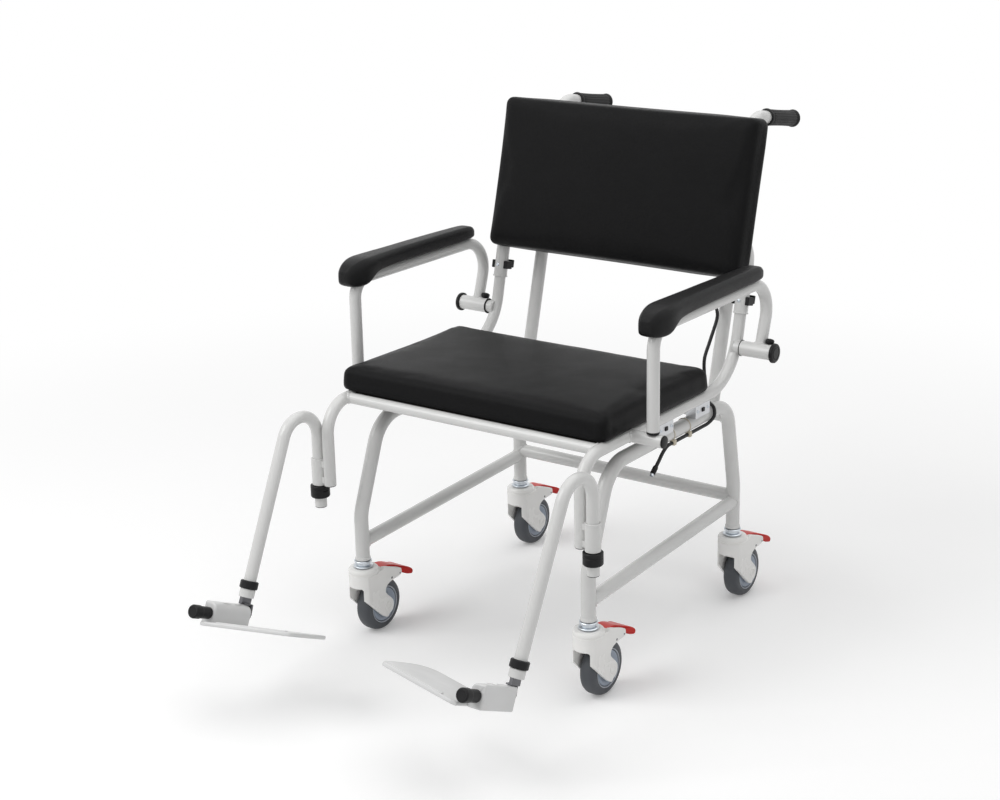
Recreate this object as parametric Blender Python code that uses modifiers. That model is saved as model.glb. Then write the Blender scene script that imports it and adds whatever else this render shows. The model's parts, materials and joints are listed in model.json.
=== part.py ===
"""Digital chair scale: a weighing chair on four braked castors.

Metres, +Z up. The chair faces -Y, and left is the seated person's left, +X.
The model is laid out from the middle of the chair's width, the front castors'
and rear castors' own places and the floor, and its root then moves it along Y
so that the origin is under the middle of its box.
"""
import bpy
import bmesh
import math
from mathutils import Euler, Matrix, Vector

# Fits
GAP = 0.0003                # between pieces that touch
RUN_CLEARANCE = 0.0004      # between pieces that turn or slide in each other
OVERRUN = 0.003             # how far a cutter passes a face
WELD_LAP = 0.002            # how far a welded shape enters its neighbour
MERGE_DISTANCE = 0.00001

# Steps of round shapes
ARC_STEP = math.radians(16)
TUBE_RESOLUTION = 3
TUBE_SIDES = 4 + 2 * TUBE_RESOLUTION
PIN_SIDES = 16

# Widths: the side frames stand under the seat's edges, and the rest is set out from them
SEAT_WIDTH = 0.552
SEAT_OVERHANG = 0.006
SIDE_X = SEAT_WIDTH / 2 - SEAT_OVERHANG
BASE_INSET = 0.022
CASTOR_X = SIDE_X - BASE_INSET
POST_INSET = 0.0355
POST_X = CASTOR_X - POST_INSET
ARM_OFFSET = 0.048
ARM_X = SIDE_X + ARM_OFFSET
FOOTREST_OFFSET = 0.024
FOOTREST_X = SIDE_X + FOOTREST_OFFSET

# Castors
WHEEL_RADIUS = 0.050
WHEEL_WIDTH = 0.032
WHEEL_TRAIL = 0.038
HUB_RADIUS = 0.034
HUB_RECESS = 0.006
HUB_BOSS_RADIUS = 0.012
TYRE_SHOULDER = 0.007
WHEEL_SIDES = 24
AXLE_RADIUS = 0.005
CASTOR_FRONT_Y = -0.267
CASTOR_REAR_Y = 0.235
HOUSING_WIDTH = 0.049
HOUSING_SLOT = 0.036
HOUSING_SHOULDER_Z = 0.1236
HOUSING_CAP_RADIUS = 0.028
HOUSING_CAP_RIM = 0.003
HOUSING_TOP_Z = 0.1365
WELL_CLEARANCE = 0.0035
ARCH_TOP_Z = 0.1015
FLANGE_RADIUS = 0.018
FLANGE_THICKNESS = 0.006
STEM_RADIUS = 0.006
STEM_DEPTH = 0.012
PEDAL_WIDTH = 0.031
PEDAL_PIN_Y = 0.049
PEDAL_PIN_Z = 0.109
PEDAL_PIN_RADIUS = 0.003
PEDAL_THICKNESS = 0.009

# Outline of the housing's side, in shares of the wheel's radius, from the swivel axis and the floor
HOUSING_OUTLINE_SHARES = (
    (-0.58, 1.70), (-0.58, 2.30), (-0.56, 2.50), (0.50, 2.52), (0.62, 2.58),
    (1.48, 2.26), (1.62, 2.14), (1.60, 1.98), (1.46, 1.93), (0.96, 1.88), (0.73, 1.77),
    (0.66, 1.61), (0.72, 1.48), (0.98, 1.22), (1.09, 1.04), (1.04, 0.78), (0.84, 0.64), (0.54, 0.62))
# Outline of the pedal, in the same shares: top edge to the tip, then back below
PEDAL_OUTLINE_SHARES = (
    (0.60, 2.74), (1.20, 2.52), (1.80, 2.24), (2.30, 1.97), (2.51, 1.80), (2.46, 1.72),
    (2.10, 1.80), (1.72, 1.98), (1.36, 2.02), (1.18, 2.06), (0.96, 2.05), (0.82, 2.12), (0.62, 2.45))

# Base frame
HOOP_DIAMETER = 0.026
HOOP_TOP_Z = 0.409
HOOP_KNEE_Z = 0.240
HOOP_FRONT_TOP_Y = -0.202
HOOP_REAR_TOP_Y = 0.204
HOOP_KNEE_BEND = 0.080
HOOP_FRONT_BEND = 0.070
HOOP_REAR_BEND = 0.050
LOWER_BAR_DIAMETER = 0.025
LOWER_BAR_FRONT_Z = 0.185
LOWER_BAR_REAR_Z = 0.205
REAR_LOWER_BAR_Z = 0.215
REAR_UPPER_BAR_Z = 0.382

# Push posts and grips
POST_DIAMETER = 0.025
POST_LEAN = math.atan(0.265)
POST_BEND = 0.035
HANDLE_CORNER_Z = 0.917
HANDLE_DROP = math.atan(0.155)
HANDLE_REACH = 0.160
GRIP_LENGTH = 0.114
GRIP_RADIUS = 0.0155
GRIP_FLANGE_RADIUS = 0.0168
GRIP_FLANGE_WIDTH = 0.005
GRIP_END_WALL = 0.004
GRIP_SIDES = 16

# Load cells, between base hoop and seat rail
CELL_WIDTH = 0.025
CELL_LENGTH = 0.050
CELL_EDGE = 0.002
CELL_FRONT_Y = -0.050
CELL_REAR_Y = 0.078

# Seat side frames
SIDE_DIAMETER = 0.022
SIDE_RAIL_Z = 0.459
HANGER_Y = -0.321
HANGER_FOOT_Z = 0.309
HANGER_BEND = 0.055
UPRIGHT_CORNER_Y = 0.1813
UPRIGHT_BEND = 0.110
UPRIGHT_LEAN = math.atan(0.234)
UPRIGHT_TOP_Z = 0.655
RAIL_DIAMETER = 0.020
FRONT_RAIL_Y = -0.2635
REAR_RAIL_Y = 0.062

# Seat
SEAT_FRONT_Y = -0.2613
SEAT_BACK_Y = 0.0733
SEAT_TOP_Z = 0.5131
SEAT_ROLL = 0.012
SEAT_CORNER = 0.021
SEAT_CROWN = 0.003
SEAT_DRAW = 0.002
BOARD_THICKNESS = 0.012

# Loops of both pads move out to their edges by this power
PAD_SPREAD_SHARE = 0.18

# Backrest
SLEEVE_X = SIDE_X
SLEEVE_DIAMETER = 0.026
SLEEVE_FOOT_Z = 0.5822
ARCH_TOP_BAR_Z = 0.730
ARCH_BEND = 0.060
PAD_EXCESS_WIDTH = 0.008
PAD_WIDTH = SEAT_WIDTH + PAD_EXCESS_WIDTH
PAD_HEIGHT = 0.294
PAD_THICKNESS = 0.048
PAD_FOOT_Y = 0.174
PAD_FOOT_Z = 0.653
PAD_LEAN = math.radians(14.5)
PAD_ROLL = 0.012
PAD_CORNER = 0.023
PAD_CROWN = 0.004
PAD_DRAW = 0.002
CLAMP_Z = 0.605
CLAMP_WIDTH = 0.033
CLAMP_DEPTH = 0.012
CLAMP_HEIGHT = 0.013

# Armrests
ARM_DIAMETER = 0.022
ARM_FRONT_Y = -0.174
ARM_TUBE_Z = 0.650
ARM_FRONT_BEND = 0.035
ARM_REAR_BEND = 0.055
ARM_REAR_CORNER_Y = 0.240
ARM_PIVOT_Y = 0.1895
ARM_PIVOT_Z = 0.524
ARM_ENTRY_Y = 0.1990
ARM_SLEEVE_RADIUS = 0.014
ARM_SLEEVE_INSET = 0.0148
ARM_SLEEVE_START_X = SIDE_X + ARM_SLEEVE_INSET
ARM_SLEEVE_OVERHANG = 0.030
ARM_SLEEVE_END_X = ARM_X + ARM_SLEEVE_OVERHANG
ARM_AXLE_RADIUS = 0.006
ARM_CAP_RADIUS = 0.018
ARM_CAP_THICKNESS = 0.007
ARM_CAP_SPIGOT = 0.0035
STUB_Y = -0.173
STUB_Z = SIDE_RAIL_Z
STUB_OVERHANG = 0.020
STUB_END_X = ARM_X + STUB_OVERHANG
ARM_PAD_OFFSET = 0.0015
ARM_PAD_X = ARM_X + ARM_PAD_OFFSET
ARM_PAD_NOSE_Y = -0.213
ARM_PAD_REAR_Y = 0.182
ARM_PAD_HALF_WIDTH = 0.0315
ARM_PAD_HEIGHT = 0.0287
ARM_PAD_NOSE_DROP = 0.0225
# Sections of an arm pad: place along it, half width, and top and underside (0 at the tube, -1 at the nose)
ARM_PAD_SHARES = (
    (0.000, 0.45, 0.50, -0.35), (0.020, 0.82, 0.86, -0.90), (0.075, 1.00, 1.00, -1.00), (0.140, 1.00, 1.00, -0.90),
    (0.200, 0.90, 1.00, -0.20), (0.280, 0.78, 1.00, 0.00), (0.560, 0.68, 1.00, 0.00), (0.920, 0.62, 0.95, 0.00),
    (0.980, 0.54, 0.88, 0.04), (1.000, 0.34, 0.60, 0.20))
# Section of an arm pad, in shares of its half width and of its height
ARM_PAD_RING_SHARES = (
    (-0.62, 0.00), (0.62, 0.00), (1.00, 0.22), (1.00, 0.66), (0.60, 1.00), (-0.60, 1.00), (-1.00, 0.66), (-1.00, 0.22))

# Footrests
FOOTREST_Y = -0.322
FOOTREST_DIAMETER = 0.022
FOOTREST_SLEEVE_RADIUS = 0.0137
FOOTREST_SLEEVE_TOP_Z = 0.357
FOOTREST_SLEEVE_FOOT_Z = 0.307
FOOTREST_COLLAR_RADIUS = 0.0175
FOOTREST_COLLAR_HEIGHT = 0.023
FOOTREST_STUB_Z = 0.265
FOOTREST_TOP_Z = 0.445
FOOTREST_BEND = 0.045
FOOTREST_REACH = 0.0755
FOOTREST_LEAN = math.radians(26)
FOOTREST_TOE_IN = 0.022
FOOTREST_LEG_LENGTH = 0.2965
LEG_COLLAR_RADIUS = 0.016
LEG_COLLAR_HEIGHT = 0.014
LEG_BORE_RADIUS = 0.008
LEG_BORE_DEPTH = 0.120
SLIDER_ROD_LENGTH = 0.110
KNUCKLE_RADIUS = 0.0135
KNUCKLE_HEIGHT = 0.014
LUG_HEIGHT = 0.014

# Footplates
HINGE_INWARD = 0.0057
HINGE_FORWARD = 0.0124
HINGE_DROP = 0.0319
HINGE_RISE = math.radians(25)
HINGE_PIN_RADIUS = 0.005
HINGE_PIN_LENGTH = 0.070
BLOCK_LENGTH = 0.093
BLOCK_WIDTH = 0.028
BLOCK_HEIGHT = 0.040
BLOCK_ROUND = 0.015
BLOCK_EDGE = 0.004
STRAP_THICKNESS = 0.004
STRAP_WIDTH = 0.024
STRAP_CLEARANCE = 0.0012
PLATE_LENGTH = 0.192
PLATE_THICKNESS = 0.007
PLATE_RAISE = math.radians(6.5)
PLATE_RIM = 0.006
PLATE_RIM_HEIGHT = 0.006
BUMPER_RADIUS = 0.013
BUMPER_LENGTH = 0.041
BUMPER_EDGE = 0.004
# Outline of a footplate: inward in shares of its length, forward in shares of the block's length
PLATE_SHARES = (
    (0.00, 0.03), (0.15, 0.00), (0.45, -0.07), (0.74, -0.11), (0.82, -0.05), (0.97, 0.38), (1.00, 0.50),
    (0.98, 0.59), (0.90, 0.67), (0.45, 1.03), (0.12, 1.30), (0.04, 1.34), (0.00, 1.32))
PLATE_RIM_SHARES = ((0.97, 0.59), (0.90, 0.66), (0.45, 1.02), (0.12, 1.29), (0.05, 1.32))

# Indicator
CASE_WIDTH = 0.270
CASE_HEIGHT = 0.142
CASE_DEPTH = 0.055
CASE_Y = 0.362
CASE_Z = 0.800
CASE_TILT = math.radians(20)
CASE_WALL = 0.003
CASE_EDGE = 0.006
CASE_SPLIT_SHARE = 0.55
BOARD_LIFT = 0.012
CIRCUIT_WIDTH = 0.230
CIRCUIT_HEIGHT = 0.110
CIRCUIT_THICKNESS = 0.0016
CIRCUIT_POST_RADIUS = 0.004
CIRCUIT_POST_X = 0.100
CIRCUIT_POST_Z = 0.042
WINDOW_FROM_X = 0.0155
UPPER_WINDOW_TO_X = 0.1137
UPPER_WINDOW_FROM_Z = 0.0084
UPPER_WINDOW_TO_Z = 0.0437
LOWER_WINDOW_TO_X = 0.0827
LOWER_WINDOW_FROM_Z = -0.0454
LOWER_WINDOW_TO_Z = 0.0022
WINDOW_LAP = 0.004
WINDOW_THICKNESS = 0.002
KEYPAD_FROM_X = -0.1050
KEYPAD_TO_X = -0.0150
KEYPAD_FROM_Z = -0.0419
KEYPAD_TO_Z = 0.0446
KEYPAD_THICKNESS = 0.0015
BRACKET_Z = 0.800
BRACKET_BAR_HEIGHT = 0.030
BRACKET_BAR_THICKNESS = 0.006
BRACKET_ARM_X = 0.050
BRACKET_ARM_THICKNESS = 0.004
BRACKET_ARM_HALF_HEIGHT = 0.045
GLAND_RADIUS = 0.0065
GLAND_LENGTH = 0.012
GLAND_X = 0.100

# Signal cable
CABLE_DIAMETER = 0.0065
CABLE_STEP = 2.2
CONNECTOR_RADIUS = 0.0048
CONNECTOR_LENGTH = 0.020
# Route from the indicator's gland, down the left post, round the base hoop and along its rail:
# share of the way across from the gland to the rail, offset across, and the place along and up
CABLE_ROUTE = (
    (0.000, 0.0000, 0.3640, 0.7130), (0.000, 0.0000, 0.3620, 0.6980), (0.088, 0.0000, 0.3500, 0.6790),
    (0.304, 0.0000, 0.3280, 0.6660), (0.527, 0.0000, 0.3000, 0.6560), (0.632, 0.0000, 0.2780, 0.6400),
    (0.642, 0.0000, 0.2640, 0.6120), (0.676, 0.0000, 0.2410, 0.5870), (0.757, 0.0000, 0.2260, 0.5770),
    (1.000, -0.0255, 0.2080, 0.5650), (1.000, -0.0255, 0.1830, 0.5290), (1.000, -0.0255, 0.1640, 0.5010),
    (1.000, -0.0255, 0.1640, 0.4720), (1.000, -0.0240, 0.1680, 0.4450), (1.000, -0.0150, 0.1530, 0.4320),
    (1.000, 0.0000, 0.1380, 0.4275), (1.000, 0.0135, 0.1310, 0.4225), (1.000, 0.0175, 0.1260, 0.4080),
    (1.000, 0.0130, 0.1120, 0.3975), (1.000, 0.0095, 0.0900, 0.3945), (1.000, 0.0095, 0.0400, 0.3945),
    (1.000, 0.0095, -0.0150, 0.3945))
TAIL_ROUTE = (
    (1.000, 0.0095, -0.0150, 0.3945), (1.000, 0.0095, -0.0230, 0.3943), (1.000, 0.0095, -0.0330, 0.3910),
    (1.000, 0.0095, -0.0440, 0.3840), (1.000, 0.0095, -0.0540, 0.3750), (1.000, 0.0095, -0.0640, 0.3670))

# Finishes: colour, roughness, metallic
FINISHES = {
    "frame_paint": ((0.80, 0.80, 0.78), 0.35, 0.0),
    "upholstery": ((0.018, 0.018, 0.020), 0.45, 0.0),
    "arm_foam": ((0.020, 0.020, 0.022), 0.60, 0.0),
    "black_plastic": ((0.020, 0.020, 0.020), 0.50, 0.0),
    "grip_rubber": ((0.025, 0.025, 0.025), 0.70, 0.0),
    "castor_plastic": ((0.78, 0.75, 0.68), 0.40, 0.0),
    "pedal_plastic": ((0.62, 0.025, 0.015), 0.40, 0.0),
    "tyre_rubber": ((0.070, 0.075, 0.090), 0.65, 0.0),
    "zinc_plate": ((0.60, 0.62, 0.66), 0.30, 1.0),
    "load_cell_metal": ((0.65, 0.66, 0.68), 0.35, 1.0),
    "footplate_plastic": ((0.60, 0.60, 0.59), 0.50, 0.0),
    "board_wood": ((0.030, 0.028, 0.026), 0.70, 0.0),
    "case_plastic": ((0.70, 0.71, 0.70), 0.45, 0.0),
    "circuit_green": ((0.02, 0.16, 0.06), 0.50, 0.0),
    "window_glass": ((0.35, 0.42, 0.45), 0.10, 0.0),
    "keypad_film": ((0.13, 0.14, 0.15), 0.40, 0.0),
    "cable_jacket": ((0.015, 0.015, 0.015), 0.50, 0.0),
}

ALONG_X = (0, math.pi / 2, 0)
ALONG_Y = (-math.pi / 2, 0, 0)
SIDE_OUTLINE = (math.pi / 2, 0, math.pi / 2)
SIDES = (("left", 1), ("right", -1))
ENDS = (("front", CASTOR_FRONT_Y), ("rear", CASTOR_REAR_Y))


# Scene, materials and parenting

def clear_scene():
    for old in list(bpy.data.objects):
        bpy.data.objects.remove(old)


def new_collection(name):
    collection = bpy.data.collections.new(name)
    bpy.context.scene.collection.children.link(collection)
    return collection


clear_scene()
PARTS = new_collection("digital_chair_scale")
CUTTERS = new_collection("cutters")
ROOT = bpy.data.objects.new("chair_root", None)
PARTS.objects.link(ROOT)


def finish_of(name):
    """The material of a finish, made on its first use."""
    if name in bpy.data.materials:
        return bpy.data.materials[name]
    colour, roughness, metallic = FINISHES[name]
    material = bpy.data.materials.new(name)
    material.use_nodes = True
    shader = material.node_tree.nodes["Principled BSDF"]
    shader.inputs["Base Color"].default_value = (*colour, 1)
    shader.inputs["Roughness"].default_value = roughness
    shader.inputs["Metallic"].default_value = metallic
    material.diffuse_color = (*colour, 1)
    return material


def add_object(name, data, finish=None):
    """A part under the root, or a cutter where no finish is given."""
    made = bpy.data.objects.new(name, data)
    made.parent = ROOT
    if finish:
        PARTS.objects.link(made)
        data.materials.append(finish_of(finish))
    else:
        CUTTERS.objects.link(made)
        made.hide_render = True
        made.display_type = "WIRE"
    return made


def pivot(name, place, parent=None):
    """An empty on a joint's axis."""
    empty = bpy.data.objects.new(name, None)
    PARTS.objects.link(empty)
    empty.location = place
    bpy.context.view_layer.update()
    carry(parent or ROOT, empty)
    return empty


def carry(parent, *children):
    bpy.context.view_layer.update()
    for child in children:
        child.parent = parent
        child.matrix_parent_inverse = parent.matrix_world.inverted()
    bpy.context.view_layer.update()


def smooth(made, angle=math.radians(40)):
    made.data.shade_smooth()
    made.data.set_sharp_from_angle(angle=angle)
    return made


# Shapes

def rounded_path(corners):
    """Points of a line through corners of (point, radius), with an arc at each inner corner."""
    points = [corners[0][0]]
    for (before, _), (corner, radius), (after, _) in zip(corners, corners[1:], corners[2:]):
        back = (before - corner).normalized()
        ahead = (after - corner).normalized()
        half_turn = (math.pi - back.angle(ahead)) / 2
        start = corner + back * radius * math.tan(half_turn)
        end = corner + ahead * radius * math.tan(half_turn)
        centre = corner + (back + ahead).normalized() * radius / math.cos(half_turn)
        axis = (start - centre).cross(end - centre)
        steps = max(2, math.ceil(2 * half_turn / ARC_STEP))
        for step in range(steps + 1):
            turn = Matrix.Rotation(2 * half_turn * step / steps, 3, axis)
            points.append(centre + turn @ (start - centre))
    points.append(corners[-1][0])
    return points


def smooth_path(route, spacing):
    """Points about one spacing apart on a smooth curve through the route's points."""
    knots = [Vector(point) for point in route]
    knots = [2 * knots[0] - knots[1], *knots, 2 * knots[-1] - knots[-2]]
    points = [knots[1]]
    for before, start, end, after in zip(knots, knots[1:], knots[2:], knots[3:]):
        steps = max(1, round((end - start).length / spacing))
        for step in range(1, steps + 1):
            t = step / steps
            points.append(0.5 * (2 * start + (end - before) * t
                                 + (2 * before - 5 * start + 4 * end - after) * t ** 2
                                 + (3 * start - before - 3 * end + after) * t ** 3))
    return points


def tube_curve(name, points, diameter, finish=None, resolution=TUBE_RESOLUTION):
    """A round bar along the points, as a curve with filled ends."""
    curve = bpy.data.curves.new(name, "CURVE")
    curve.dimensions = "3D"
    curve.bevel_depth = diameter / 2
    curve.bevel_resolution = resolution
    curve.use_fill_caps = True
    spline = curve.splines.new("POLY")
    spline.points.add(len(points) - 1)
    for made, point in zip(spline.points, points):
        made.co = (*point, 1)
    return add_object(name, curve, finish)


def as_mesh(curve_object, finish=None):
    """The curve object as a mesh object with its caps welded on."""
    bpy.context.view_layer.update()
    evaluated = curve_object.evaluated_get(bpy.context.evaluated_depsgraph_get())
    mesh = bpy.data.meshes.new_from_object(evaluated)
    weld = bmesh.new()
    weld.from_mesh(mesh)
    bmesh.ops.remove_doubles(weld, verts=weld.verts, dist=MERGE_DISTANCE)
    weld.to_mesh(mesh)
    weld.free()
    mesh.materials.clear()
    name = curve_object.name
    place = curve_object.matrix_world.copy()
    bpy.data.objects.remove(curve_object)
    made = add_object(name, mesh, finish)
    made.matrix_world = place
    return smooth(made)


def tube(name, points, diameter, finish=None):
    return as_mesh(tube_curve(name, points, diameter), finish)


def slab(name, outline, thickness, finish=None, place=(0, 0, 0), rotation=(0, 0, 0)):
    """A flat plate of the outline's shape, centred on its local XY plane."""
    curve = bpy.data.curves.new(name, "CURVE")
    curve.dimensions = "2D"
    curve.fill_mode = "BOTH"
    curve.extrude = thickness / 2
    spline = curve.splines.new("POLY")
    spline.use_cyclic_u = True
    spline.points.add(len(outline) - 1)
    for made, point in zip(spline.points, outline):
        made.co = (*point, 0, 1)
    plate = add_object(name, curve)
    plate.location = place
    plate.rotation_euler = rotation
    return as_mesh(plate, finish)


def block(name, size, centre, finish=None, rotation=(0, 0, 0), edge=0, segments=2):
    """A box with its edges rounded by a bevel."""
    shape = bmesh.new()
    bmesh.ops.create_cube(shape, size=1)
    bmesh.ops.scale(shape, vec=size, verts=shape.verts)
    mesh = bpy.data.meshes.new(name)
    shape.to_mesh(mesh)
    shape.free()
    made = add_object(name, mesh, finish)
    made.location = centre
    made.rotation_euler = rotation
    if edge:
        bevel = made.modifiers.new("Edges", "BEVEL")
        bevel.width = edge
        bevel.segments = segments
    return made


def turned(name, profile, centre, finish=None, rotation=(0, 0, 0), sides=PIN_SIDES, ring=False):
    """A turned shape: the profile's (radius, height) points run down its outer side."""
    count = len(profile)
    edges = [(i, i + 1) for i in range(count - 1)]
    if ring:
        edges.append((count - 1, 0))
    mesh = bpy.data.meshes.new(name)
    mesh.from_pydata([(radius, 0, height) for radius, height in profile], edges, [])
    made = add_object(name, mesh, finish)
    made.location = centre
    made.rotation_euler = rotation
    screw = made.modifiers.new("Turn", "SCREW")
    screw.steps = sides
    screw.render_steps = sides
    screw.use_merge_vertices = True
    screw.merge_threshold = MERGE_DISTANCE
    return made


def rod(name, radius, start, end, finish=None, rotation=(0, 0, 0), sides=PIN_SIDES, at=(0, 0, 0)):
    """A plain turned bar on its local axis, from start to end."""
    profile = ((0, end), (radius, end), (radius, start), (0, start))
    return turned(name, profile, at, finish, rotation, sides)


def pad(name, size, roll, corner, crown, draw, finish, place, rotation=(0, 0, 0)):
    """A stuffed pad: a crowned top, rolled edges, and sides drawn in between its corners.

    Its underside is flat. Its local origin is the middle of the underside."""
    shape = bmesh.new()
    bmesh.ops.create_cube(shape, size=2)
    bmesh.ops.subdivide_edges(shape, edges=shape.edges[:], cuts=4, use_grid_fill=True)
    half = Vector(size) / 2
    core = Vector((half.x - corner, half.y - corner, half.z - roll))
    for vert in shape.verts:
        share = vert.co.copy()
        spread = Vector([math.copysign(abs(s) ** PAD_SPREAD_SHARE, s) for s in share])
        point = Vector([s * h for s, h in zip(spread, half)])
        inner = Vector([max(-c, min(c, p)) for c, p in zip(core, point)])
        out = point - inner
        plan = Vector((out.x, out.y, 0))
        if plan.length > corner:
            plan *= corner / plan.length
        rise = Vector((plan.x / corner, plan.y / corner, out.z / roll))
        if share.z > 0 and rise.length > 1:
            rise.normalize()
        point = inner + Vector((rise.x * corner, rise.y * corner, rise.z * roll))
        middle = (1 - share.x ** 2) * (1 - share.y ** 2)
        if share.z > 0:
            point.z += crown * middle * share.z
        point.x -= draw * share.x * (1 - share.y ** 2)
        point.y -= draw * share.y * (1 - share.x ** 2)
        point.z += half.z
        vert.co = point
    mesh = bpy.data.meshes.new(name)
    shape.to_mesh(mesh)
    shape.free()
    made = add_object(name, mesh, finish)
    made.location = place
    made.rotation_euler = rotation
    subdivision = made.modifiers.new("Softness", "SUBSURF")
    subdivision.levels = 1
    subdivision.render_levels = 1
    return smooth(made)


def combine(target, other, operation):
    modifier = target.modifiers.new(other.name, "BOOLEAN")
    modifier.operation = operation
    modifier.object = other


def cut(target, *cutters):
    for cutter in cutters:
        combine(target, cutter, "DIFFERENCE")


def join(target, *others):
    for other in others:
        combine(target, other, "UNION")


def in_side_plane(x, corners):
    """Corners of (y, z, radius) as points in the plane at x."""
    return [(Vector((x, y, z)), radius) for y, z, radius in corners]


# Castors

CASTOR_RIM_Z = HOUSING_TOP_Z + GAP
CASTOR_TOP_Z = CASTOR_RIM_Z + FLANGE_THICKNESS
SLOT_HALF = HOUSING_SLOT / 2
WELL_RADIUS = WHEEL_RADIUS + WELL_CLEARANCE


def from_shares(shares, width, height):
    return [(x * width, y * height) for x, y in shares]


def castor_wheel(name, axle):
    """Tyre and hub, turned so that one flat of the tread lies on the floor."""
    half = WHEEL_WIDTH / 2
    tread = WHEEL_RADIUS / math.cos(math.pi / WHEEL_SIDES)
    bore = AXLE_RADIUS / math.cos(math.pi / PIN_SIDES) + RUN_CLEARANCE
    profile = (
        (bore, half - HUB_RECESS / 2), (HUB_BOSS_RADIUS, half - HUB_RECESS / 2),
        (HUB_BOSS_RADIUS + HUB_RECESS / 2, half - HUB_RECESS), (HUB_RADIUS, half - HUB_RECESS),
        (HUB_RADIUS + HUB_RECESS / 4, half), (tread - TYRE_SHOULDER, half),
        (tread, half - TYRE_SHOULDER))
    mirrored = [(radius, -height) for radius, height in reversed(profile)]
    half_step = Matrix.Rotation(math.pi / WHEEL_SIDES, 4, "X") @ Euler(ALONG_X).to_matrix().to_4x4()
    return turned(name, (*profile, *mirrored), axle, "tyre_rubber", half_step.to_euler(), WHEEL_SIDES, ring=True)


def castor_housing(name, x, y):
    outline = from_shares(HOUSING_OUTLINE_SHARES, WHEEL_RADIUS, WHEEL_RADIUS)
    housing = slab(name, outline, HOUSING_WIDTH, "castor_plastic", (x, y, 0), SIDE_OUTLINE)
    well = rod(name + "_well", WELL_RADIUS, -SLOT_HALF, SLOT_HALF, rotation=ALONG_X, sides=WHEEL_SIDES,
               at=(x, y + WHEEL_TRAIL, WHEEL_RADIUS))
    rear = HOUSING_OUTLINE_SHARES[6][0] * WHEEL_RADIUS + 2 * PEDAL_THICKNESS
    slot_start = HOUSING_CAP_RADIUS + OVERRUN / 2
    slot = block(name + "_pedal_slot", (HOUSING_SLOT, rear - slot_start, WHEEL_RADIUS * 2),
                 (x, y + (rear + slot_start) / 2, HOUSING_SHOULDER_Z))
    front = -HOUSING_OUTLINE_SHARES[0][0] * WHEEL_RADIUS + OVERRUN
    arch = block(name + "_arch", (HOUSING_SLOT - WELD_LAP, front, ARCH_TOP_Z - WHEEL_RADIUS),
                 (x, y - front / 2, (ARCH_TOP_Z + WHEEL_RADIUS) / 2))
    rim = HOUSING_CAP_RADIUS - HOUSING_CAP_RIM
    foot = HOUSING_SHOULDER_Z - WELD_LAP
    cap_profile = ((0, HOUSING_TOP_Z), (rim, HOUSING_TOP_Z), (HOUSING_CAP_RADIUS, HOUSING_TOP_Z - HOUSING_CAP_RIM),
                   (HOUSING_CAP_RADIUS, foot), (0, foot))
    cap = turned(name + "_cap", cap_profile, (x, y, 0), sides=PIN_SIDES)
    bore = (STEM_RADIUS + RUN_CLEARANCE) / math.cos(math.pi / PIN_SIDES)
    stem_bore = rod(name + "_bore", bore, HOUSING_TOP_Z - STEM_DEPTH - GAP, HOUSING_TOP_Z + OVERRUN, at=(x, y, 0))
    axle = rod(name + "_axle", AXLE_RADIUS, -HOUSING_WIDTH / 2 + WELD_LAP, HOUSING_WIDTH / 2 - WELD_LAP,
               rotation=ALONG_X, at=(x, y + WHEEL_TRAIL, WHEEL_RADIUS))
    pin = rod(name + "_pedal_pin", PEDAL_PIN_RADIUS, -HOUSING_WIDTH / 2 + WELD_LAP, HOUSING_WIDTH / 2 - WELD_LAP,
              rotation=ALONG_X, at=(x, y + PEDAL_PIN_Y, PEDAL_PIN_Z), sides=PIN_SIDES // 2)
    cut(housing, well, slot, arch)
    join(housing, cap)
    cut(housing, stem_bore)
    join(housing, axle, pin)
    return housing


def castor_pedal(name, x, y):
    outline = from_shares(PEDAL_OUTLINE_SHARES, WHEEL_RADIUS, WHEEL_RADIUS)
    pedal = slab(name, outline, PEDAL_WIDTH, "pedal_plastic", (x, y, 0), SIDE_OUTLINE)
    bore = (PEDAL_PIN_RADIUS + RUN_CLEARANCE) / math.cos(math.pi / PIN_SIDES)
    hole = rod(name + "_hole", bore, -PEDAL_WIDTH, PEDAL_WIDTH, rotation=ALONG_X,
               at=(x, y + PEDAL_PIN_Y, PEDAL_PIN_Z))
    cut(pedal, hole)
    return pedal


def castor_stem(name, x, y):
    profile = ((0, CASTOR_TOP_Z), (FLANGE_RADIUS, CASTOR_TOP_Z), (FLANGE_RADIUS, CASTOR_RIM_Z),
               (STEM_RADIUS, CASTOR_RIM_Z), (STEM_RADIUS, CASTOR_TOP_Z - FLANGE_THICKNESS - STEM_DEPTH),
               (0, CASTOR_TOP_Z - FLANGE_THICKNESS - STEM_DEPTH))
    return turned(name, profile, (x, y, 0), "zinc_plate")


def build_castors():
    for side, sign in SIDES:
        for end, y in ENDS:
            place = f"{end}_{side}"
            x = sign * CASTOR_X
            axle = Vector((x, y + WHEEL_TRAIL, WHEEL_RADIUS))
            swivel = pivot(f"castor_swivel_{place}", (x, y, CASTOR_TOP_Z))
            roll = pivot(f"wheel_axle_{place}", axle, swivel)
            brake = pivot(f"brake_pivot_{place}", (x, y + PEDAL_PIN_Y, PEDAL_PIN_Z), swivel)
            castor_stem(f"castor_stem_{place}", x, y)
            carry(swivel, castor_housing(f"castor_housing_{place}", x, y))
            carry(roll, castor_wheel(f"castor_wheel_{place}", axle))
            carry(brake, castor_pedal(f"brake_pedal_{place}", x, y))


# Base frame

HOOP_FOOT_Z = CASTOR_TOP_Z + GAP


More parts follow.
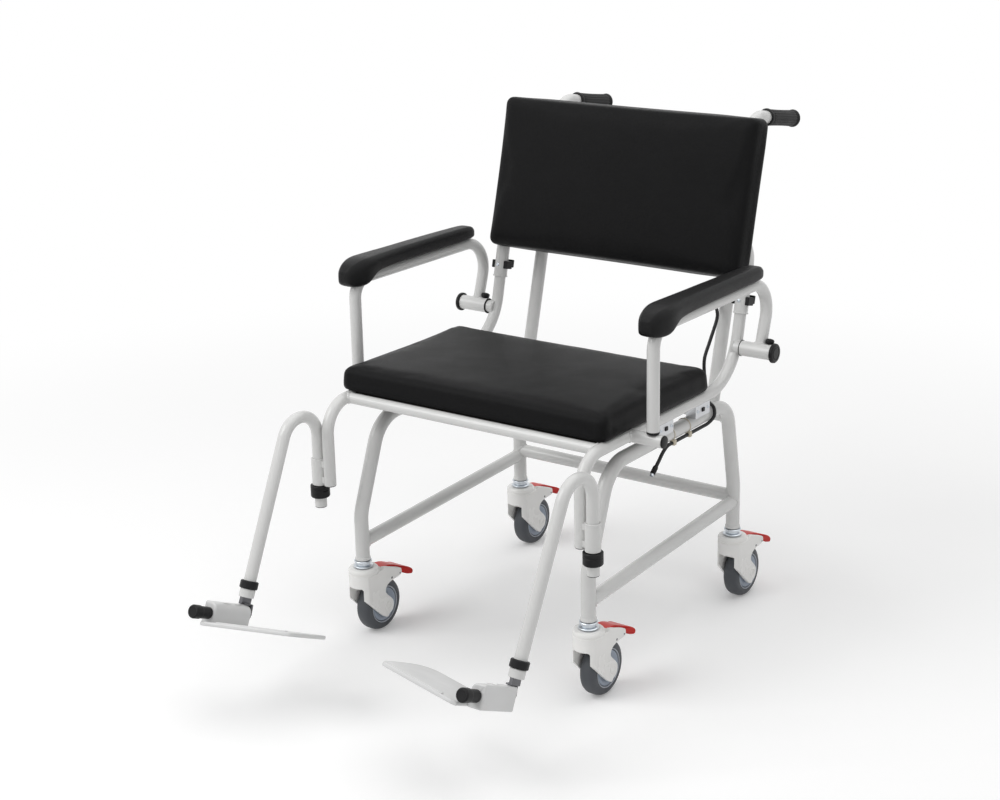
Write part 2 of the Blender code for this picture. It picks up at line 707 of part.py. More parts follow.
def hoop_path(x):
    return rounded_path(in_side_plane(x, (
        (CASTOR_FRONT_Y, HOOP_FOOT_Z, 0), (CASTOR_FRONT_Y, HOOP_KNEE_Z, HOOP_KNEE_BEND),
        (HOOP_FRONT_TOP_Y, HOOP_TOP_Z, HOOP_FRONT_BEND), (HOOP_REAR_TOP_Y, HOOP_TOP_Z, HOOP_REAR_BEND),
        (CASTOR_REAR_Y, HOOP_KNEE_Z, HOOP_KNEE_BEND), (CASTOR_REAR_Y, HOOP_FOOT_Z, 0))))


def rear_bar_y(z):
    """Where the hoop's rear leg is at a height, above its knee."""
    share = (z - HOOP_KNEE_Z) / (HOOP_TOP_Z - HOOP_KNEE_Z)
    return CASTOR_REAR_Y + share * (HOOP_REAR_TOP_Y - CASTOR_REAR_Y)


def hoop_room(name, x):
    """The space that a tube leaves for a base hoop."""
    return tube(name, hoop_path(x), HOOP_DIAMETER + 2 * GAP)


def cross_bar(name, y, z, diameter, finish=None):
    """A bar across the chair between the hoops' axes."""
    return tube(name, (Vector((-CASTOR_X, y, z)), Vector((CASTOR_X, y, z))), diameter, finish)


def build_base():
    rooms = {}
    rear_room = cross_bar("rear_lower_bar_room", CASTOR_REAR_Y, REAR_LOWER_BAR_Z, LOWER_BAR_DIAMETER + 2 * GAP)
    for side, sign in SIDES:
        x = sign * CASTOR_X
        tube(f"base_hoop_{side}", hoop_path(x), HOOP_DIAMETER, "frame_paint")
        rooms[side] = hoop_room(f"hoop_room_{side}", x)
        ends = (Vector((x, CASTOR_FRONT_Y, LOWER_BAR_FRONT_Z)), Vector((x, CASTOR_REAR_Y, LOWER_BAR_REAR_Z)))
        bar = tube(f"base_lower_bar_{side}", ends, LOWER_BAR_DIAMETER, "frame_paint")
        cut(bar, rooms[side], rear_room)
    rear_bars = (("base_rear_lower_bar", CASTOR_REAR_Y, REAR_LOWER_BAR_Z),
                 ("base_rear_upper_bar", rear_bar_y(REAR_UPPER_BAR_Z), REAR_UPPER_BAR_Z))
    for name, y, z in rear_bars:
        cut(cross_bar(name, y, z, LOWER_BAR_DIAMETER, "frame_paint"), rooms["left"], rooms["right"])


# Push posts and grips

def post_y(z):
    """Where a push post's axis is at a height, under its bend."""
    return rear_bar_y(REAR_UPPER_BAR_Z) + (z - REAR_UPPER_BAR_Z) * math.tan(POST_LEAN)


def handle_point(x, run):
    """The point on a handle's axis that is a run behind the post's corner."""
    corner = Vector((x, post_y(HANDLE_CORNER_Z), HANDLE_CORNER_Z))
    return corner + run * Vector((0, math.cos(HANDLE_DROP), -math.sin(HANDLE_DROP)))


def post_path(x):
    foot = Vector((x, post_y(REAR_UPPER_BAR_Z), REAR_UPPER_BAR_Z))
    return rounded_path(((foot, 0), (handle_point(x, 0), POST_BEND), (handle_point(x, HANDLE_REACH), 0)))


def build_posts():
    bar_room = cross_bar("upper_bar_room", rear_bar_y(REAR_UPPER_BAR_Z), REAR_UPPER_BAR_Z,
                         LOWER_BAR_DIAMETER + 2 * GAP)
    for side, sign in SIDES:
        x = sign * POST_X
        post = tube(f"push_post_{side}", post_path(x), POST_DIAMETER, "frame_paint")
        cut(post, bar_room)
        bore = POST_DIAMETER / 2 + GAP
        floor = GRIP_END_WALL
        bend = GRIP_RADIUS - GRIP_FLANGE_WIDTH
        profile = (
            (0, floor), (bore, floor), (bore, GRIP_LENGTH), (GRIP_FLANGE_RADIUS, GRIP_LENGTH),
            (GRIP_FLANGE_RADIUS, GRIP_LENGTH - GRIP_FLANGE_WIDTH), (GRIP_RADIUS, GRIP_LENGTH - GRIP_FLANGE_WIDTH),
            (GRIP_RADIUS, 2 * GRIP_FLANGE_WIDTH), (GRIP_FLANGE_RADIUS, GRIP_FLANGE_WIDTH),
            (GRIP_RADIUS, 0), (bend, -GAP), (0, -GAP))
        tip = handle_point(x, HANDLE_REACH + GRIP_END_WALL + GAP)
        turned(f"push_grip_{side}", profile, tip, "grip_rubber",
               (math.pi / 2 - HANDLE_DROP, 0, 0), GRIP_SIDES)


# Load cells

def build_load_cells():
    foot = HOOP_TOP_Z + HOOP_DIAMETER / 2 + GAP
    head = SIDE_RAIL_Z - SIDE_DIAMETER / 2 - GAP
    for side, sign in SIDES:
        for end, y in (("front", CELL_FRONT_Y), ("rear", CELL_REAR_Y)):
            block(f"load_cell_{end}_{side}", (CELL_WIDTH, CELL_LENGTH, head - foot),
                  (sign * (CASTOR_X + SIDE_X) / 2, y, (head + foot) / 2), "load_cell_metal",
                  edge=CELL_EDGE, segments=1)


# Seat side frames, with what is welded to them

def upright_y(z):
    """Where a seat upright's axis is at a height."""
    return UPRIGHT_CORNER_Y + (z - SIDE_RAIL_Z) * math.tan(UPRIGHT_LEAN)


def side_path(x):
    return rounded_path(in_side_plane(x, (
        (HANGER_Y, HANGER_FOOT_Z, 0), (HANGER_Y, SIDE_RAIL_Z, HANGER_BEND),
        (UPRIGHT_CORNER_Y, SIDE_RAIL_Z, UPRIGHT_BEND), (upright_y(UPRIGHT_TOP_Z), UPRIGHT_TOP_Z, 0))))


def outward(sign):
    """The rotation that turns a shape's local axis to the outside of a side."""
    return (0, sign * math.pi / 2, 0)


def footrest_sleeve(name, x):
    inner = (FOOTREST_DIAMETER / 2 + RUN_CLEARANCE) / math.cos(math.pi / PIN_SIDES)
    outer = FOOTREST_SLEEVE_RADIUS
    profile = ((inner, FOOTREST_SLEEVE_TOP_Z), (outer, FOOTREST_SLEEVE_TOP_Z),
               (outer, FOOTREST_SLEEVE_FOOT_Z), (inner, FOOTREST_SLEEVE_FOOT_Z))
    return turned(name, profile, (x, FOOTREST_Y, 0), ring=True), inner


def build_side_frames():
    rooms = []
    for side, sign in SIDES:
        name = f"seat_side_frame_{side}"
        frame = tube(name, side_path(sign * SIDE_X), SIDE_DIAMETER, "frame_paint")
        rooms.append(tube(f"side_room_{side}", side_path(sign * SIDE_X), SIDE_DIAMETER + 2 * GAP))
        sleeve, bore = footrest_sleeve(f"{name}_sleeve", sign * FOOTREST_X)
        join(frame, sleeve)
        lug_end = FOOTREST_X - (bore + FOOTREST_SLEEVE_RADIUS) / 2
        for level in (FOOTREST_SLEEVE_TOP_Z - LUG_HEIGHT / 2 - WELD_LAP,
                      FOOTREST_SLEEVE_FOOT_Z + LUG_HEIGHT / 2 + 2 * WELD_LAP):
            lug = block(f"{name}_lug_{level:.3f}", (lug_end - SIDE_X, LUG_HEIGHT, LUG_HEIGHT),
                        (sign * (lug_end + SIDE_X) / 2, FOOTREST_Y, level))
            join(frame, lug)
        stub = rod(f"{name}_stub", SIDE_DIAMETER / 2, 0, STUB_END_X - SIDE_X, rotation=outward(sign),
                   at=(sign * SIDE_X, STUB_Y, STUB_Z))
        axle = rod(f"{name}_arm_axle", ARM_AXLE_RADIUS, 0, ARM_SLEEVE_END_X + ARM_CAP_SPIGOT - SIDE_X,
                   rotation=outward(sign), at=(sign * SIDE_X, ARM_PIVOT_Y, ARM_PIVOT_Z))
        join(frame, stub, axle)
    for name, y in (("seat_front_rail", FRONT_RAIL_Y), ("seat_rear_rail", REAR_RAIL_Y)):
        ends = (Vector((-SIDE_X, y, SIDE_RAIL_Z)), Vector((SIDE_X, y, SIDE_RAIL_Z)))
        rail = tube(name, ends, RAIL_DIAMETER, "frame_paint")
        cut(rail, *rooms)


# Seat

def build_seat():
    top = SIDE_RAIL_Z + SIDE_DIAMETER / 2
    side = SIDE_X - SIDE_DIAMETER / 2 - GAP
    front = FRONT_RAIL_Y + RAIL_DIAMETER / 2 + GAP
    back = REAR_RAIL_Y - RAIL_DIAMETER / 2 - GAP
    block("seat_board", (2 * side, back - front, BOARD_THICKNESS),
          (0, (front + back) / 2, top - BOARD_THICKNESS / 2), "board_wood")
    foot = top + GAP
    size = (SEAT_WIDTH, SEAT_BACK_Y - SEAT_FRONT_Y, SEAT_TOP_Z - foot - SEAT_CROWN)
    pad("seat_cushion", size, SEAT_ROLL, SEAT_CORNER, SEAT_CROWN, SEAT_DRAW, "upholstery",
        (0, (SEAT_FRONT_Y + SEAT_BACK_Y) / 2, foot))


# Backrest

def arch_path():
    """The backrest tube, up one upright, across and down the other."""
    foot_y = upright_y(SLEEVE_FOOT_Z)
    top_y = upright_y(ARCH_TOP_BAR_Z)
    corners = ((-SLEEVE_X, foot_y, SLEEVE_FOOT_Z, 0), (-SLEEVE_X, top_y, ARCH_TOP_BAR_Z, ARCH_BEND),
               (SLEEVE_X, top_y, ARCH_TOP_BAR_Z, ARCH_BEND), (SLEEVE_X, foot_y, SLEEVE_FOOT_Z, 0))
    return rounded_path([(Vector((x, y, z)), radius) for x, y, z, radius in corners])


def build_backrest():
    slide = pivot("backrest_slide", (0, upright_y(SLEEVE_FOOT_Z), SLEEVE_FOOT_Z))
    frame = tube("backrest_frame", arch_path(), SLEEVE_DIAMETER, "frame_paint")
    along = Vector((0, math.sin(UPRIGHT_LEAN), math.cos(UPRIGHT_LEAN)))
    for side, sign in SIDES:
        foot = Vector((sign * SLEEVE_X, upright_y(SLEEVE_FOOT_Z), SLEEVE_FOOT_Z))
        head = Vector((sign * SLEEVE_X, upright_y(UPRIGHT_TOP_Z), UPRIGHT_TOP_Z))
        reach = (foot - OVERRUN * along, head + OVERRUN * along)
        bore = tube(f"sleeve_bore_{side}", reach, SIDE_DIAMETER + 2 * RUN_CLEARANCE)
        near = upright_y(CLAMP_Z) + (SIDE_DIAMETER / 2 + RUN_CLEARANCE + SLEEVE_DIAMETER / 2) / 2
        clamp = block(f"clamp_{side}", (CLAMP_WIDTH, CLAMP_DEPTH, CLAMP_HEIGHT),
                      (sign * SLEEVE_X, near + CLAMP_DEPTH / 2, CLAMP_Z))
        join(frame, clamp)
        cut(frame, bore)
    back = Vector((0, math.cos(PAD_LEAN), -math.sin(PAD_LEAN)))
    up = Vector((0, math.sin(PAD_LEAN), math.cos(PAD_LEAN)))
    centre = Vector((0, PAD_FOOT_Y, PAD_FOOT_Z)) + up * PAD_HEIGHT / 2 + back * PAD_THICKNESS
    size = (PAD_WIDTH, PAD_HEIGHT, PAD_THICKNESS - PAD_CROWN)
    cushion = pad("backrest_pad", size, PAD_ROLL, PAD_CORNER, PAD_CROWN, PAD_DRAW, "upholstery",
                  centre, (math.pi / 2 - PAD_LEAN, 0, 0))
    cut(cushion, tube("backrest_frame_room", arch_path(), SLEEVE_DIAMETER + 2 * GAP))
    carry(slide, frame, cushion)


# Armrests

def lofted(name, rings, finish):
    """A closed shape through rings of points, softened by subdivision."""
    shape = bmesh.new()
    made_rings = [[shape.verts.new(point) for point in ring] for ring in rings]
    for ring, following in zip(made_rings, made_rings[1:]):
        for i in range(len(ring)):
            j = (i + 1) % len(ring)
            shape.faces.new((ring[i], ring[j], following[j], following[i]))
    shape.faces.new(made_rings[0])
    shape.faces.new(made_rings[-1])
    bmesh.ops.recalc_face_normals(shape, faces=shape.faces)
    mesh = bpy.data.meshes.new(name)
    shape.to_mesh(mesh)
    shape.free()
    made = add_object(name, mesh, finish)
    subdivision = made.modifiers.new("Softness", "SUBSURF")
    subdivision.levels = 1
    subdivision.render_levels = 1
    return smooth(made)


def arm_pad(name, x):
    """A foam pad over the arm's tube, with a wide nose that droops round the tube's front bend."""
    base = ARM_TUBE_Z + ARM_DIAMETER / 2 + GAP
    length = ARM_PAD_REAR_Y - ARM_PAD_NOSE_Y
    rings = []
    for along, wide, high, low in ARM_PAD_SHARES:
        bottom = base + low * (ARM_PAD_NOSE_DROP if low < 0 else ARM_PAD_HEIGHT)
        top = base + high * ARM_PAD_HEIGHT
        rings.append([(x + u * wide * ARM_PAD_HALF_WIDTH, ARM_PAD_NOSE_Y + along * length,
                       bottom + v * (top - bottom)) for u, v in ARM_PAD_RING_SHARES])
    return lofted(name, rings, "arm_foam")


def build_armrests():
    plug_z = STUB_Z + SIDE_DIAMETER / 2 + GAP
    for side, sign in SIDES:
        hinge = pivot(f"armrest_hinge_{side}", (sign * ARM_X, ARM_PIVOT_Y, ARM_PIVOT_Z))
        path = rounded_path(in_side_plane(sign * ARM_X, (
            (ARM_FRONT_Y, plug_z, 0), (ARM_FRONT_Y, ARM_TUBE_Z, ARM_FRONT_BEND),
            (ARM_REAR_CORNER_Y, ARM_TUBE_Z, ARM_REAR_BEND), (ARM_ENTRY_Y, ARM_PIVOT_Z, 0))))
        arm = tube(f"armrest_frame_{side}", path, ARM_DIAMETER, "frame_paint")
        at = (0, ARM_PIVOT_Y, ARM_PIVOT_Z)
        sleeve = rod(f"arm_sleeve_{side}", ARM_SLEEVE_RADIUS, ARM_SLEEVE_START_X, ARM_SLEEVE_END_X,
                     rotation=outward(sign), at=at)
        bore_radius = (ARM_AXLE_RADIUS + RUN_CLEARANCE) / math.cos(math.pi / PIN_SIDES)
        bore = rod(f"arm_bore_{side}", bore_radius, ARM_SLEEVE_START_X - OVERRUN, ARM_SLEEVE_END_X + OVERRUN,
                   rotation=outward(sign), at=at)
        join(arm, sleeve)
        cut(arm, bore)
        start = ARM_SLEEVE_END_X + RUN_CLEARANCE
        end = start + ARM_CAP_THICKNESS
        seat = ARM_AXLE_RADIUS / math.cos(math.pi / PIN_SIDES) + GAP
        depth = ARM_SLEEVE_END_X + ARM_CAP_SPIGOT + GAP
        cap_profile = ((0, end), (ARM_CAP_RADIUS - WELD_LAP, end), (ARM_CAP_RADIUS, end - WELD_LAP),
                       (ARM_CAP_RADIUS, start), (seat, start), (seat, depth), (0, depth))
        turned(f"armrest_pivot_cap_{side}", cap_profile, at, "black_plastic", outward(sign))
        rest = arm_pad(f"armrest_pad_{side}", sign * ARM_PAD_X)
        cut(rest, tube(f"arm_room_{side}", path, ARM_DIAMETER + 2 * GAP))
        carry(hinge, arm, rest)


# Footrests

def leg_heading(x):
    """The way down a leg, forward and a little towards the middle."""
    inward = -math.copysign(FOOTREST_TOE_IN, x)
    return Vector((inward, -math.sin(FOOTREST_LEAN), -math.cos(FOOTREST_LEAN))).normalized()


def leg_turn(x):
    """The rotation that turns a shape's local axis up a leg."""
    return (-leg_heading(x)).to_track_quat("Z", "Y").to_euler()


def leg_point(x, run):
    """The point on a leg's axis that is a run below its upper corner."""
    corner = Vector((x, FOOTREST_Y - FOOTREST_REACH, FOOTREST_TOP_Z))
    return corner + run * leg_heading(x)


def hinge_place(x):
    """Where a footplate's hinge starts, under the knuckle of its leg."""
    knuckle = leg_point(x, FOOTREST_LEG_LENGTH + KNUCKLE_HEIGHT)
    return knuckle + Vector((-math.copysign(HINGE_INWARD, x), -HINGE_FORWARD, -HINGE_DROP))


def hinge_frame(x):
    """The frame of a footplate: local X across, Y forward along the hinge, Z up across it."""
    forward = Vector((0, -math.cos(HINGE_RISE), math.sin(HINGE_RISE)))
    up = Vector((0, math.sin(HINGE_RISE), math.cos(HINGE_RISE)))
    side = forward.cross(up)
    turn = Matrix((side, forward, up)).transposed()
    return Matrix.Translation(hinge_place(x)) @ turn.to_4x4()


def place_in(frame, made):
    """Place a shape that was made in a frame's own coordinates."""
    bpy.context.view_layer.update()
    made.matrix_world = frame @ made.matrix_world
    return made


def footrest_leg(side, x):
    path = rounded_path((
        (Vector((x, FOOTREST_Y, FOOTREST_STUB_Z)), 0), (Vector((x, FOOTREST_Y, FOOTREST_TOP_Z)), FOOTREST_BEND),
        (leg_point(x, 0), FOOTREST_BEND), (leg_point(x, FOOTREST_LEG_LENGTH), 0)))
    leg = tube(f"footrest_leg_{side}", path, FOOTREST_DIAMETER, "frame_paint")
    top = FOOTREST_SLEEVE_FOOT_Z - RUN_CLEARANCE
    ring = rod(f"pivot_collar_{side}", FOOTREST_COLLAR_RADIUS, top - FOOTREST_COLLAR_HEIGHT, top,
               at=(x, FOOTREST_Y, 0))
    lean = leg_turn(x)
    foot = leg_point(x, FOOTREST_LEG_LENGTH)
    collar = rod(f"leg_collar_{side}", LEG_COLLAR_RADIUS, -GAP, LEG_COLLAR_HEIGHT, rotation=lean, at=foot)
    bore = rod(f"leg_bore_{side}", LEG_BORE_RADIUS, -OVERRUN, LEG_BORE_DEPTH, rotation=lean, at=foot)
    join(leg, ring, collar)
    cut(leg, bore)
    return leg


def footrest_slider(side, x):
    """Rod in the leg, knuckle under it, strap over the block's end and the footplate's hinge pin."""
    foot = leg_point(x, FOOTREST_LEG_LENGTH + 2 * GAP)
    lean = leg_turn(x)
    radius = (LEG_BORE_RADIUS - RUN_CLEARANCE) * math.cos(math.pi / PIN_SIDES)
    profile = ((0, SLIDER_ROD_LENGTH), (radius, SLIDER_ROD_LENGTH), (radius, 0), (KNUCKLE_RADIUS, 0),
               (KNUCKLE_RADIUS, -KNUCKLE_HEIGHT), (0, -KNUCKLE_HEIGHT))
    slider = turned(f"footrest_slider_{side}", profile, foot, "zinc_plate", lean)
    frame = hinge_frame(x)
    top = BLOCK_HEIGHT / 2 + STRAP_CLEARANCE
    local_foot = frame.inverted() @ leg_point(x, FOOTREST_LEG_LENGTH + KNUCKLE_HEIGHT)
    reach = local_foot.y + KNUCKLE_RADIUS
    neck = local_foot.z - top + WELD_LAP
    saddle = block(f"saddle_{side}", (STRAP_WIDTH, reach, STRAP_THICKNESS), (0, reach / 2, top + STRAP_THICKNESS / 2))
    web = block(f"web_{side}", (STRAP_THICKNESS * 2, 2 * KNUCKLE_RADIUS - WELD_LAP, neck),
                (local_foot.x, local_foot.y, top + neck / 2))
    back_height = top + STRAP_THICKNESS + 2 * HINGE_PIN_RADIUS
    strap = block(f"strap_{side}", (STRAP_WIDTH, STRAP_THICKNESS, back_height),
                  (0, -STRAP_CLEARANCE - STRAP_THICKNESS / 2 + GAP, top + STRAP_THICKNESS - back_height / 2))
    bridge = block(f"bridge_{side}", (STRAP_WIDTH, STRAP_THICKNESS, STRAP_THICKNESS),
                   (0, 0, top + STRAP_THICKNESS / 2))
    pin = rod(f"hinge_pin_{side}", HINGE_PIN_RADIUS, -STRAP_THICKNESS, HINGE_PIN_LENGTH, rotation=ALONG_Y)
    join(slider, *(place_in(frame, shape) for shape in (web, saddle, bridge, strap, pin)))
    return slider


def block_outline(sign):
    """Section of the hinge block across its length, with its upper inner edge round."""
    half_width = BLOCK_WIDTH / 2
    half_height = BLOCK_HEIGHT / 2
    corners = ((-half_width, -half_height, BLOCK_EDGE), (half_width, -half_height, BLOCK_EDGE),
               (half_width, half_height, BLOCK_ROUND), (-half_width, half_height, BLOCK_EDGE))
    ring = [Vector((x, z, 0)) for x, z, _ in corners]
    outline = []
    for i, (_, _, radius) in enumerate(corners):
        arc = rounded_path(((ring[i - 1], 0), (ring[i], radius), (ring[(i + 1) % 4], 0)))
        outline.extend(arc[1:-1])
    return [(sign * point.x, point.y) for point in outline]


def footplate(side, sign, x):
    """Hinge block and plate, made in the hinge's frame: local X points inward."""
    frame = hinge_frame(x)
    inward = 1 if (frame.to_3x3() @ Vector((1, 0, 0))).x * sign < 0 else -1
    bottom = -BLOCK_HEIGHT / 2
    plate = slab(f"footplate_{side}", block_outline(inward), BLOCK_LENGTH, "footplate_plastic",
                 (0, BLOCK_LENGTH / 2 + GAP, 0), (math.pi / 2, 0, 0))
    outline = [(inward * u * PLATE_LENGTH, v * BLOCK_LENGTH) for u, v in PLATE_SHARES]
    tread = slab(f"tread_{side}", outline, PLATE_THICKNESS, None, (0, 0, 0))
    edge = [(inward * u * PLATE_LENGTH, v * BLOCK_LENGTH) for u, v in PLATE_RIM_SHARES]
    rim = slab(f"rim_{side}", edge + [(u, v - PLATE_RIM) for u, v in reversed(edge)],
               PLATE_THICKNESS + PLATE_RIM_HEIGHT, None, (0, 0, PLATE_RIM_HEIGHT / 2))
    root = Matrix.Translation((inward * (BLOCK_WIDTH / 2 - WELD_LAP), 0, bottom + PLATE_THICKNESS / 2))
    tilt = Matrix.Rotation(-inward * PLATE_RAISE, 4, "Y")
    for shape in (tread, rim):
        place_in(frame @ root @ tilt, shape)
    place_in(frame, plate)
    bore = (HINGE_PIN_RADIUS + RUN_CLEARANCE) / math.cos(math.pi / PIN_SIDES)
    hole = place_in(frame, rod(f"hinge_bore_{side}", bore, -OVERRUN, HINGE_PIN_LENGTH + GAP, rotation=ALONG_Y))
    join(plate, tread, rim)
    cut(plate, hole)
    start = BLOCK_LENGTH + 2 * GAP
    profile = ((0, BUMPER_LENGTH), (BUMPER_RADIUS - BUMPER_EDGE, BUMPER_LENGTH),
               (BUMPER_RADIUS, BUMPER_LENGTH - BUMPER_EDGE), (BUMPER_RADIUS, 0), (0, 0))
    bumper = turned(f"foot_bumper_{side}", profile, (0, start, 0), "black_plastic", ALONG_Y)
    return plate, place_in(frame, bumper)


def build_footrests():
    for side, sign in SIDES:
        x = sign * FOOTREST_X
        swing = pivot(f"footrest_swing_{side}", (x, FOOTREST_Y, FOOTREST_SLEEVE_FOOT_Z))
        slide = pivot(f"footrest_length_{side}", leg_point(x, FOOTREST_LEG_LENGTH), swing)
        hinge = pivot(f"footplate_hinge_{side}", hinge_place(x), slide)
        carry(swing, footrest_leg(side, x))
        carry(slide, footrest_slider(side, x))
        carry(hinge, *footplate(side, sign, x))


# Indicator, on a bracket between the push posts

def case_frame():
    """Frame of the indicator: local X across, Y out of its face, Z up its face."""
    return Matrix.Translation((0, CASE_Y, CASE_Z)) @ Matrix.Rotation(CASE_TILT, 4, "X")


def case_box(name, x, y, z, finish=None, edge=0):
    """A box in the indicator's frame, between two values on each axis."""
    size = (x[1] - x[0], y[1] - y[0], z[1] - z[0])
    centre = (sum(x) / 2, sum(y) / 2, sum(z) / 2)
    return place_in(case_frame(), block(name, size, centre, finish, edge=edge, segments=1))


def mirrored_range(end):
    return (-end, end)


def build_indicator():
    width = CASE_WIDTH / 2
    height = CASE_HEIGHT / 2
    back = -CASE_DEPTH / 2
    face = CASE_DEPTH / 2
    split = back + CASE_DEPTH * CASE_SPLIT_SHARE
    rear = case_box("indicator_rear_shell", mirrored_range(width), (back, split), mirrored_range(height),
                    "case_plastic", CASE_EDGE)
    inner_width = mirrored_range(width - CASE_WALL - CASE_EDGE / 2)
    inner_height = mirrored_range(height - CASE_WALL - CASE_EDGE / 2)
    cut(rear, case_box("rear_hollow", inner_width, (back + CASE_WALL, split + CASE_EDGE), inner_height))
    board_y = back + CASE_WALL + BOARD_LIFT
    for across in (-CIRCUIT_POST_X, CIRCUIT_POST_X):
        for up in (-CIRCUIT_POST_Z, CIRCUIT_POST_Z):
            boss = rod("circuit_boss", CIRCUIT_POST_RADIUS, 0, board_y - back - GAP, rotation=ALONG_Y,
                       sides=PIN_SIDES // 2, at=(across, back + GAP, up))
            boss = place_in(case_frame(), boss)
            join(rear, boss)
    gland = rod("cable_gland", GLAND_RADIUS, -height - GLAND_LENGTH, -height + CASE_WALL + CASE_EDGE / 4,
                sides=PIN_SIDES // 2 + 2, at=(GLAND_X, (back + split) / 2, 0))
    join(rear, place_in(case_frame(), gland))
    front = case_box("indicator_front_shell", mirrored_range(width), (split + GAP, face), mirrored_range(height),
                     "case_plastic", CASE_EDGE)
    cut(front, case_box("front_hollow", inner_width, (split - CASE_EDGE, face - CASE_WALL), inner_height))
    panes = ((WINDOW_FROM_X, UPPER_WINDOW_TO_X, UPPER_WINDOW_FROM_Z, UPPER_WINDOW_TO_Z),
             (WINDOW_FROM_X, LOWER_WINDOW_TO_X, LOWER_WINDOW_FROM_Z, LOWER_WINDOW_TO_Z))
    for number, (from_x, to_x, from_z, to_z) in enumerate(panes):
        cut(front, case_box(f"window_opening_{number}", (from_x, to_x), (split, face + OVERRUN), (from_z, to_z)))
    pane_back = face - CASE_WALL - GAP - WINDOW_THICKNESS
    case_box("indicator_window", (WINDOW_FROM_X - WINDOW_LAP, UPPER_WINDOW_TO_X + WINDOW_LAP),
             (pane_back, pane_back + WINDOW_THICKNESS),
             (LOWER_WINDOW_FROM_Z - WINDOW_LAP, UPPER_WINDOW_TO_Z + WINDOW_LAP), "window_glass")
    case_box("indicator_keypad", (KEYPAD_FROM_X, KEYPAD_TO_X), (face + GAP, face + GAP + KEYPAD_THICKNESS),
             (KEYPAD_FROM_Z, KEYPAD_TO_Z), "keypad_film")
    case_box("indicator_circuit_board", mirrored_range(CIRCUIT_WIDTH / 2), (board_y, board_y + CIRCUIT_THICKNESS),
             mirrored_range(CIRCUIT_HEIGHT / 2), "circuit_green")


def build_bracket():
    post = post_y(BRACKET_Z)
    bar = block("indicator_bracket", (2 * POST_X, BRACKET_BAR_THICKNESS, BRACKET_BAR_HEIGHT),
                (0, post, BRACKET_Z), "frame_paint")
    for side, sign in SIDES:
        cut(bar, tube(f"post_room_{side}", post_path(sign * POST_X), POST_DIAMETER + 2 * GAP))
        inner = post + BRACKET_BAR_THICKNESS / 2 - WELD_LAP
        half = BRACKET_BAR_HEIGHT / 2
        rim = [case_frame() @ Vector((0, -CASE_DEPTH / 2 - GAP, z))
               for z in (BRACKET_ARM_HALF_HEIGHT, -BRACKET_ARM_HALF_HEIGHT)]
        outline = [(inner, BRACKET_Z - half), *((p.y, p.z) for p in reversed(rim)), (inner, BRACKET_Z + half)]
        arm = slab(f"bracket_arm_{side}", outline, BRACKET_ARM_THICKNESS, None,
                   (sign * BRACKET_ARM_X, 0, 0), SIDE_OUTLINE)
        join(bar, arm)


# Signal cable

def cable_points(route):
    return [(GLAND_X + share * (CASTOR_X - GLAND_X) + offset, y, z) for share, offset, y, z in route]


def build_cable():
    tube_curve("signal_cable", smooth_path(cable_points(CABLE_ROUTE), CABLE_STEP * CABLE_DIAMETER), CABLE_DIAMETER,
               "cable_jacket", resolution=2)
    tail_points = [Vector(point) for point in cable_points(TAIL_ROUTE)]
    start = tail_points[0]
    onward = (tail_points[1] - start).normalized()
    path = smooth_path(tail_points, CABLE_STEP * CABLE_DIAMETER)
    path[0] = start + GAP * onward
    tail = as_mesh(tube_curve("cable_tail", path, CABLE_DIAMETER, resolution=2), "cable_jacket")
    heading = (tail_points[-1] - tail_points[-2]).normalized()
    profile = ((0, CONNECTOR_LENGTH), (CONNECTOR_RADIUS / 2, CONNECTOR_LENGTH),
               (CONNECTOR_RADIUS, CONNECTOR_LENGTH - CONNECTOR_RADIUS / 2), (CONNECTOR_RADIUS, 0), (0, 0))
    connector = turned("tail_connector", profile, tail_points[-1] - CABLE_DIAMETER * heading / 4)
    connector.rotation_euler = heading.to_track_quat("Z", "Y").to_euler()
    join(tail, connector)


def centre_on_floor():
    """Moves the root along Y so that the origin is under the middle of the model's box."""
    bpy.context.view_layer.update()
    depsgraph = bpy.context.evaluated_depsgraph_get()
    reach = []
    for made in PARTS.objects:
        if made.type == "EMPTY" or made.name in ("signal_cable", "cable_tail"):
            continue
        evaluated = made.evaluated_get(depsgraph)
        mesh = evaluated.to_mesh()
        reach.extend((evaluated.matrix_world @ vert.co).y for vert in mesh.vertices)
        evaluated.to_mesh_clear()
    ROOT.location.y = -(min(reach) + max(reach)) / 2
    bpy.context.view_layer.update()


build_castors()
build_base()
build_posts()
build_load_cells()
build_side_frames()
build_seat()
build_backrest()
build_armrests()
build_footrests()
build_indicator()
build_bracket()
build_cable()
centre_on_floor()
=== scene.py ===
"""Dressed model of a wheeled chair scale: finishes, fine shapes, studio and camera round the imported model."""

import json
import math

import bmesh
import bpy
from bpy.props import FloatProperty, FloatVectorProperty, PointerProperty, StringProperty
from mathutils import Matrix, Vector, noise

